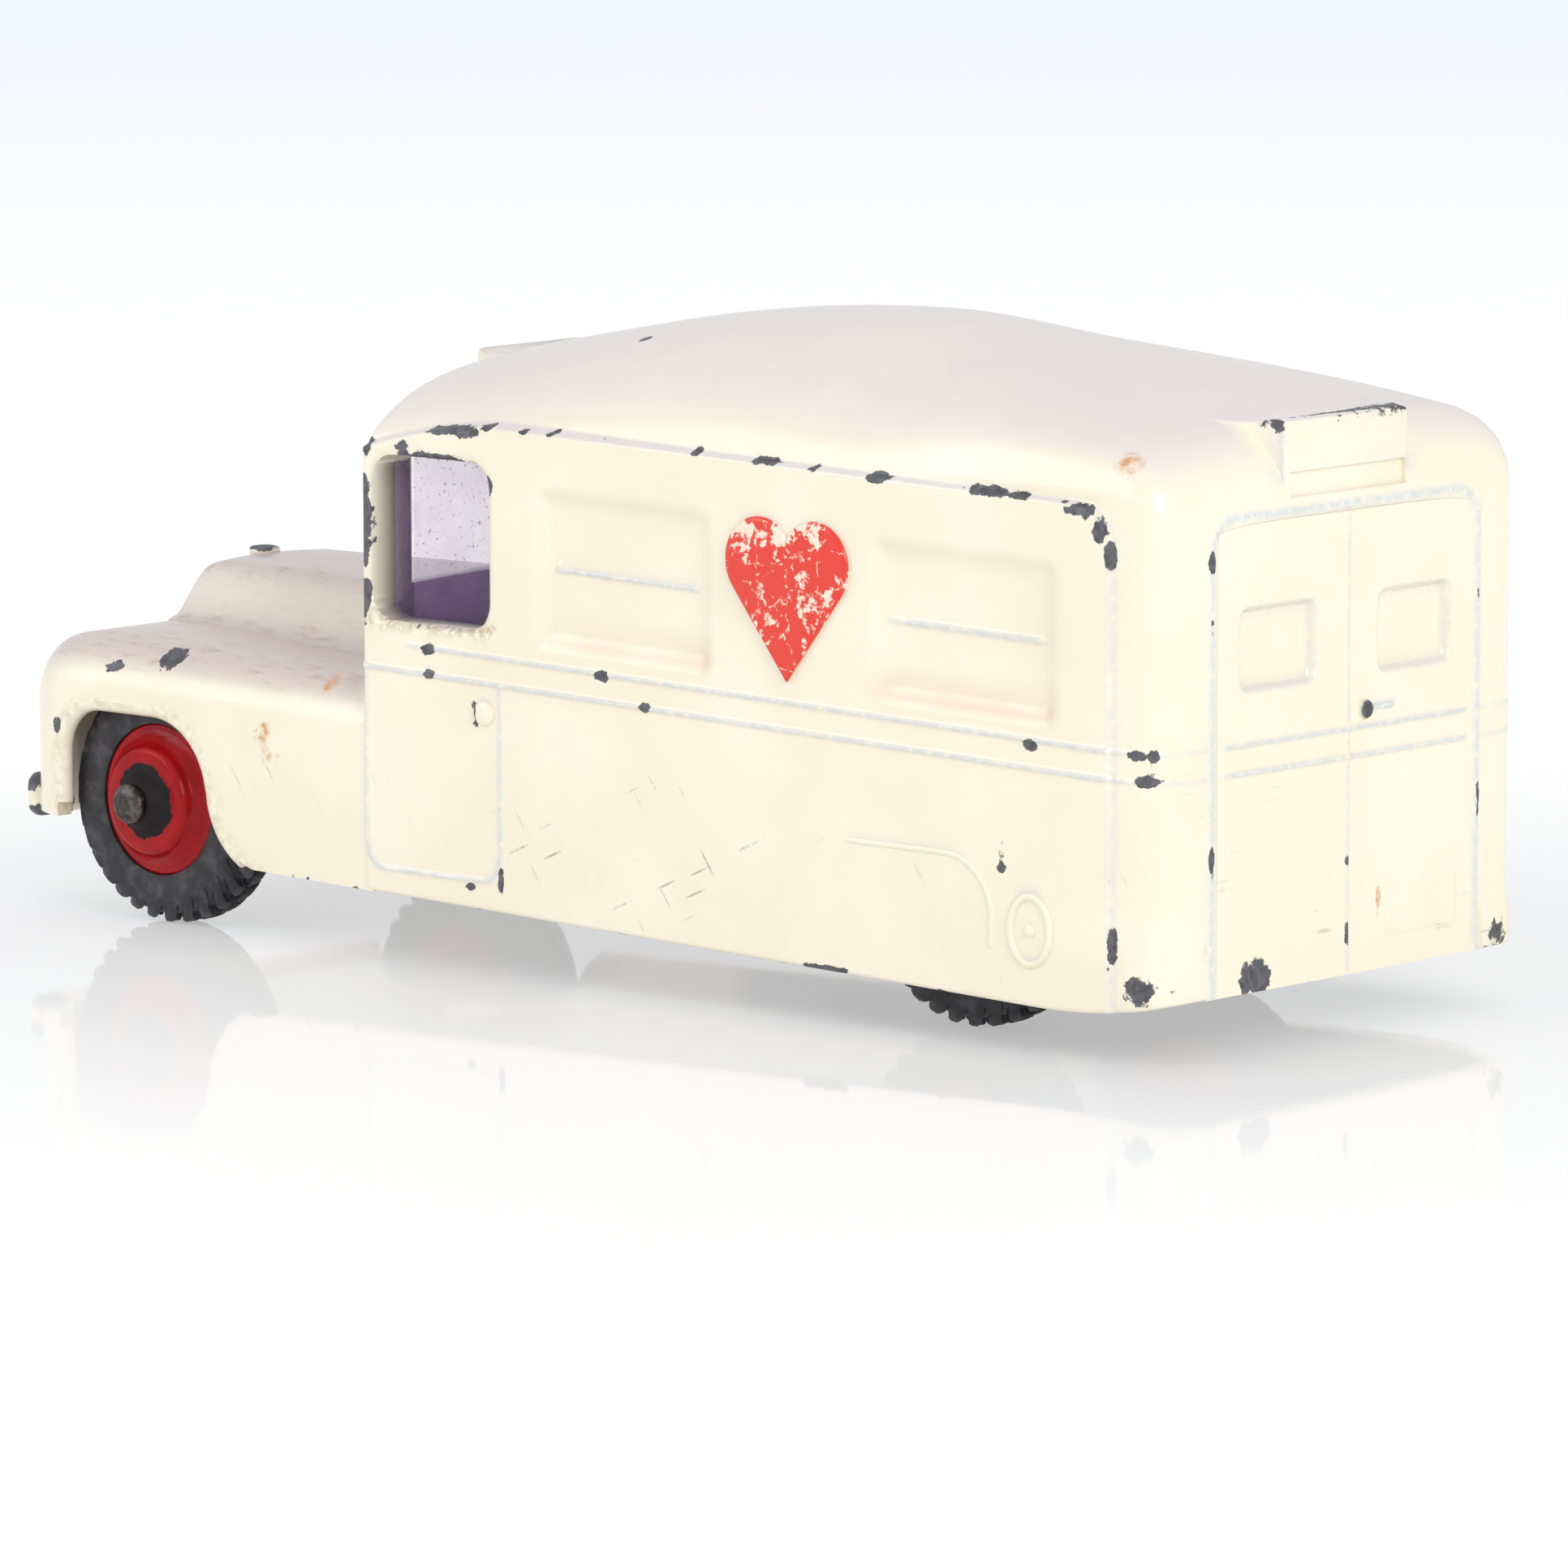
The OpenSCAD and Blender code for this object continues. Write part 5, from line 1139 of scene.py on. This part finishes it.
carcass, lug = carcassShell(), lugPair()
turnSeed = {"front_left": 0.05, "front_right": 0.11, "rear_left": 0.02, "rear_right": 0.16}
for name, shift in turnSeed.items():
    low, high = boxOf(name + "_tyre")
    side = -1 if "left" in name else 1
    x, inner = (low[0] + high[0]) / 2, min(abs(low[1]), abs(high[1]))
    hub = turnedLoop(hubProfile, x, inner, side, axleZ).made(name + "_wheel_hub")
    hubX, hubY, hubZ = pointsOf(hub) / mm
    out = np.hypot(hubX - x, hubZ - axleZ)
    worn = np.clip(1.15 - np.abs(out - 1.6) / 1.15, 0, 1) * (side * hubY > inner + wheel["width"] - 0.5)
    writeAttribute(hub, "worn", worn)
    redPaint.coat(hub)
    finishPiece(hub, 40, name + "_hub", name + "_wheel")
    tyre = runTree(name + "_wheel_tyre", both.tree, lugKeys, (carcass, lug, wheel["lugs"], shift))
    tyre.data.transform(Matrix.Translation((x * mm, (low[1] + high[1]) / 2 * mm, axleZ * mm)))
    finishPiece(tyre, 50, name + "_tyre", name + "_wheel")
bpy.data.objects.remove(carcass)
bpy.data.objects.remove(lug)
print("wheels", len(tyre.data.polygons), len(hub.data.polygons))
for end in ("front", "rear"):
    low, high = boxOf(end + "_axle")
    reach = high[1]
    rod = Build()
    head = [(1.0, reach - 0.65), (1.22, reach - 0.65), (1.25, reach - 0.58), (1.25, reach - 0.34),
            (1.18, reach - 0.2), (1.0, reach - 0.09), (0.7, reach - 0.03), (0.3, reach)]
    lathe(rod, [(radius, -far) for radius, far in reversed(head)] + head, ((low[0] + high[0]) / 2, 0, axleZ),
          (0, 1, 0), 48)
    rod = rod.made(end + "_axle_rod")
    steel.coat(rod)
    finishPiece(rod, 40, end + "_axle", end + "_axle_shaft")
print("axles done")

# glazing and baseplate keep their CAD shapes
glass = Paint("tinted_glazing", {"IOR": 1.46})
specks = glass.place.noise(2.6, 4.0, 0.7).ramp(0.63, 0.68)
smear = glass.place.noise(0.35, 3.0).ramp(0.4, 0.75)
tint = smear.blend(colour(0.64, 0.38, 0.76), colour(0.53, 0.31, 0.65))
glass.set(Base_Color=specks.blend(tint, colour(0.10, 0.07, 0.05)), Roughness=smear * 0.1 + 0.03,
          Alpha=specks * 0.5 + smear * 0.06 + 0.1)
glass.coat(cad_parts["window_glazing"])
tin = Paint("tinplate", {"Metallic": 0.75})
scuff = tin.place.scaled((0.3, 1.6, 1.0)).noise(1.4, 4.0, 0.65)
tin.set(Base_Color=scuff.ramp(0.3, 0.75).blend(colour(0.42, 0.41, 0.40), colour(0.66, 0.65, 0.62)),
        Roughness=scuff * 0.3 + 0.28)
tin.bump(scuff, 0.3, 0.05)
tin.coat(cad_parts["baseplate"])
print("glazing and baseplate painted")

# stage: glossy white table that fades into the backdrop, soft lamps, camera at the photo's angle
camera = {"yaw": 41.89, "pitch": 8.08, "roll": -0.09, "focal": 12000, "image": 1932, "shift": (-2.52, -10.51),
          "far": 603.4, "sensor": 36}
stage = {"reach": 4000, "nearX": 22.9, "nearEdge": 43.4, "leftSlope": 0.9, "rightSlope": 1.05, "clear": 0.58,
         "fade": (42, 105), "mirror": (0.3, 13.0), "backdrop": (380, 950), "sky": 0.8}
yaw, pitch, roll = (math.radians(camera[key]) for key in ("yaw", "pitch", "roll"))
back = np.array([math.sin(yaw) * math.cos(pitch), -math.cos(yaw) * math.cos(pitch), math.sin(pitch)])
level = np.array([math.cos(yaw), math.sin(yaw), 0])
upright = np.cross(back, level)
right = math.cos(roll) * level + math.sin(roll) * upright
upward = math.cos(roll) * upright - math.sin(roll) * level
reach = stage["reach"]
table = makeObject("table", [[-reach, -reach, 0], [reach, -reach, 0], [reach, reach, 0], [-reach, reach, 0]],
                   [(0, 1, 2, 3)])
tablePaint = Paint("table_white", {"Roughness": 0.05, "IOR": 1.45, "Base Color": colour(0.93, 0.93, 0.935)})
floorX, floorY = tablePaint.place.parts()[:2]
across, toward = floorX * right[0] + floorY * right[1], floorX * back[0] + floorY * back[1]
nearEdge = (stage["nearEdge"] - (stage["nearX"] - across).most(0.0) * stage["leftSlope"]
            - (across - stage["nearX"]).most(0.0) * stage["rightSlope"])
mirrored = (toward - nearEdge) * math.tan(pitch)       # height of what the table mirrors there
far = across.make("ShaderNodeVectorMath", {"operation": "LENGTH"}, {0: tablePaint.place}, 1)
backdrop = far.ramp(*stage["backdrop"]).blend(colour(1, 1, 1), colour(0.89, 0.92, 1.0))
glow = far.make("ShaderNodeEmission", {}, {"Color": backdrop})
fade = far.ramp(*stage["fade"]).most(mirrored.ramp(*stage["mirror"]))
fade = fade * stage["clear"] + (1 - stage["clear"])
gloss = Wire(glow.tree, tablePaint.shader.outputs[0])
mixed = glow.make("ShaderNodeMixShader", {}, {0: fade, 1: gloss, 2: glow})
glow.tree.links.new(mixed.socket, glow.tree.nodes["Material Output"].inputs[0])
tablePaint.coat(table)
world = bpy.data.worlds.new("studio")
bpy.context.scene.world = world
world.use_nodes = True
sky = world.node_tree.nodes["Background"].inputs
sky["Color"].default_value = colour(0.95, 0.965, 1.0)
sky["Strength"].default_value = stage["sky"]


def softLamp(name, place, aim, size, power):
    data = bpy.data.lights.new(name, "AREA")
    data.shape, data.size, data.energy = "SQUARE", size, power
    lampItem = bpy.data.objects.new(name, data)
    lampItem.location = place
    lampItem.rotation_euler = (lampItem.location - Vector(aim)).to_track_quat("Z", "Y").to_euler()
    bpy.context.collection.objects.link(lampItem)


softLamp("key", (0.48, -0.2, 0.26), (0, 0, 0.02), 0.25, 1.05)
softLamp("fill", (-0.3, -0.4, 0.25), (0, 0, 0.02), 0.3, 0.5)
eye = -camera["shift"][0] * right - camera["shift"][1] * upward + camera["far"] * back
cameraData = bpy.data.cameras.new("photo_camera")
cameraData.sensor_width = camera["sensor"]
cameraData.lens = camera["sensor"] * camera["focal"] / camera["image"]
cameraData.clip_start, cameraData.clip_end = 0.01, 20
cameraItem = bpy.data.objects.new("photo_camera", cameraData)
bpy.context.collection.objects.link(cameraItem)
cameraItem.matrix_world = Matrix([[right[row], upward[row], back[row], eye[row] * mm] for row in range(3)]
                                 + [[0, 0, 0, 1]])
bpy.context.scene.camera = cameraItem
bpy.context.scene.view_settings.view_transform = "Standard"
print("stage done")
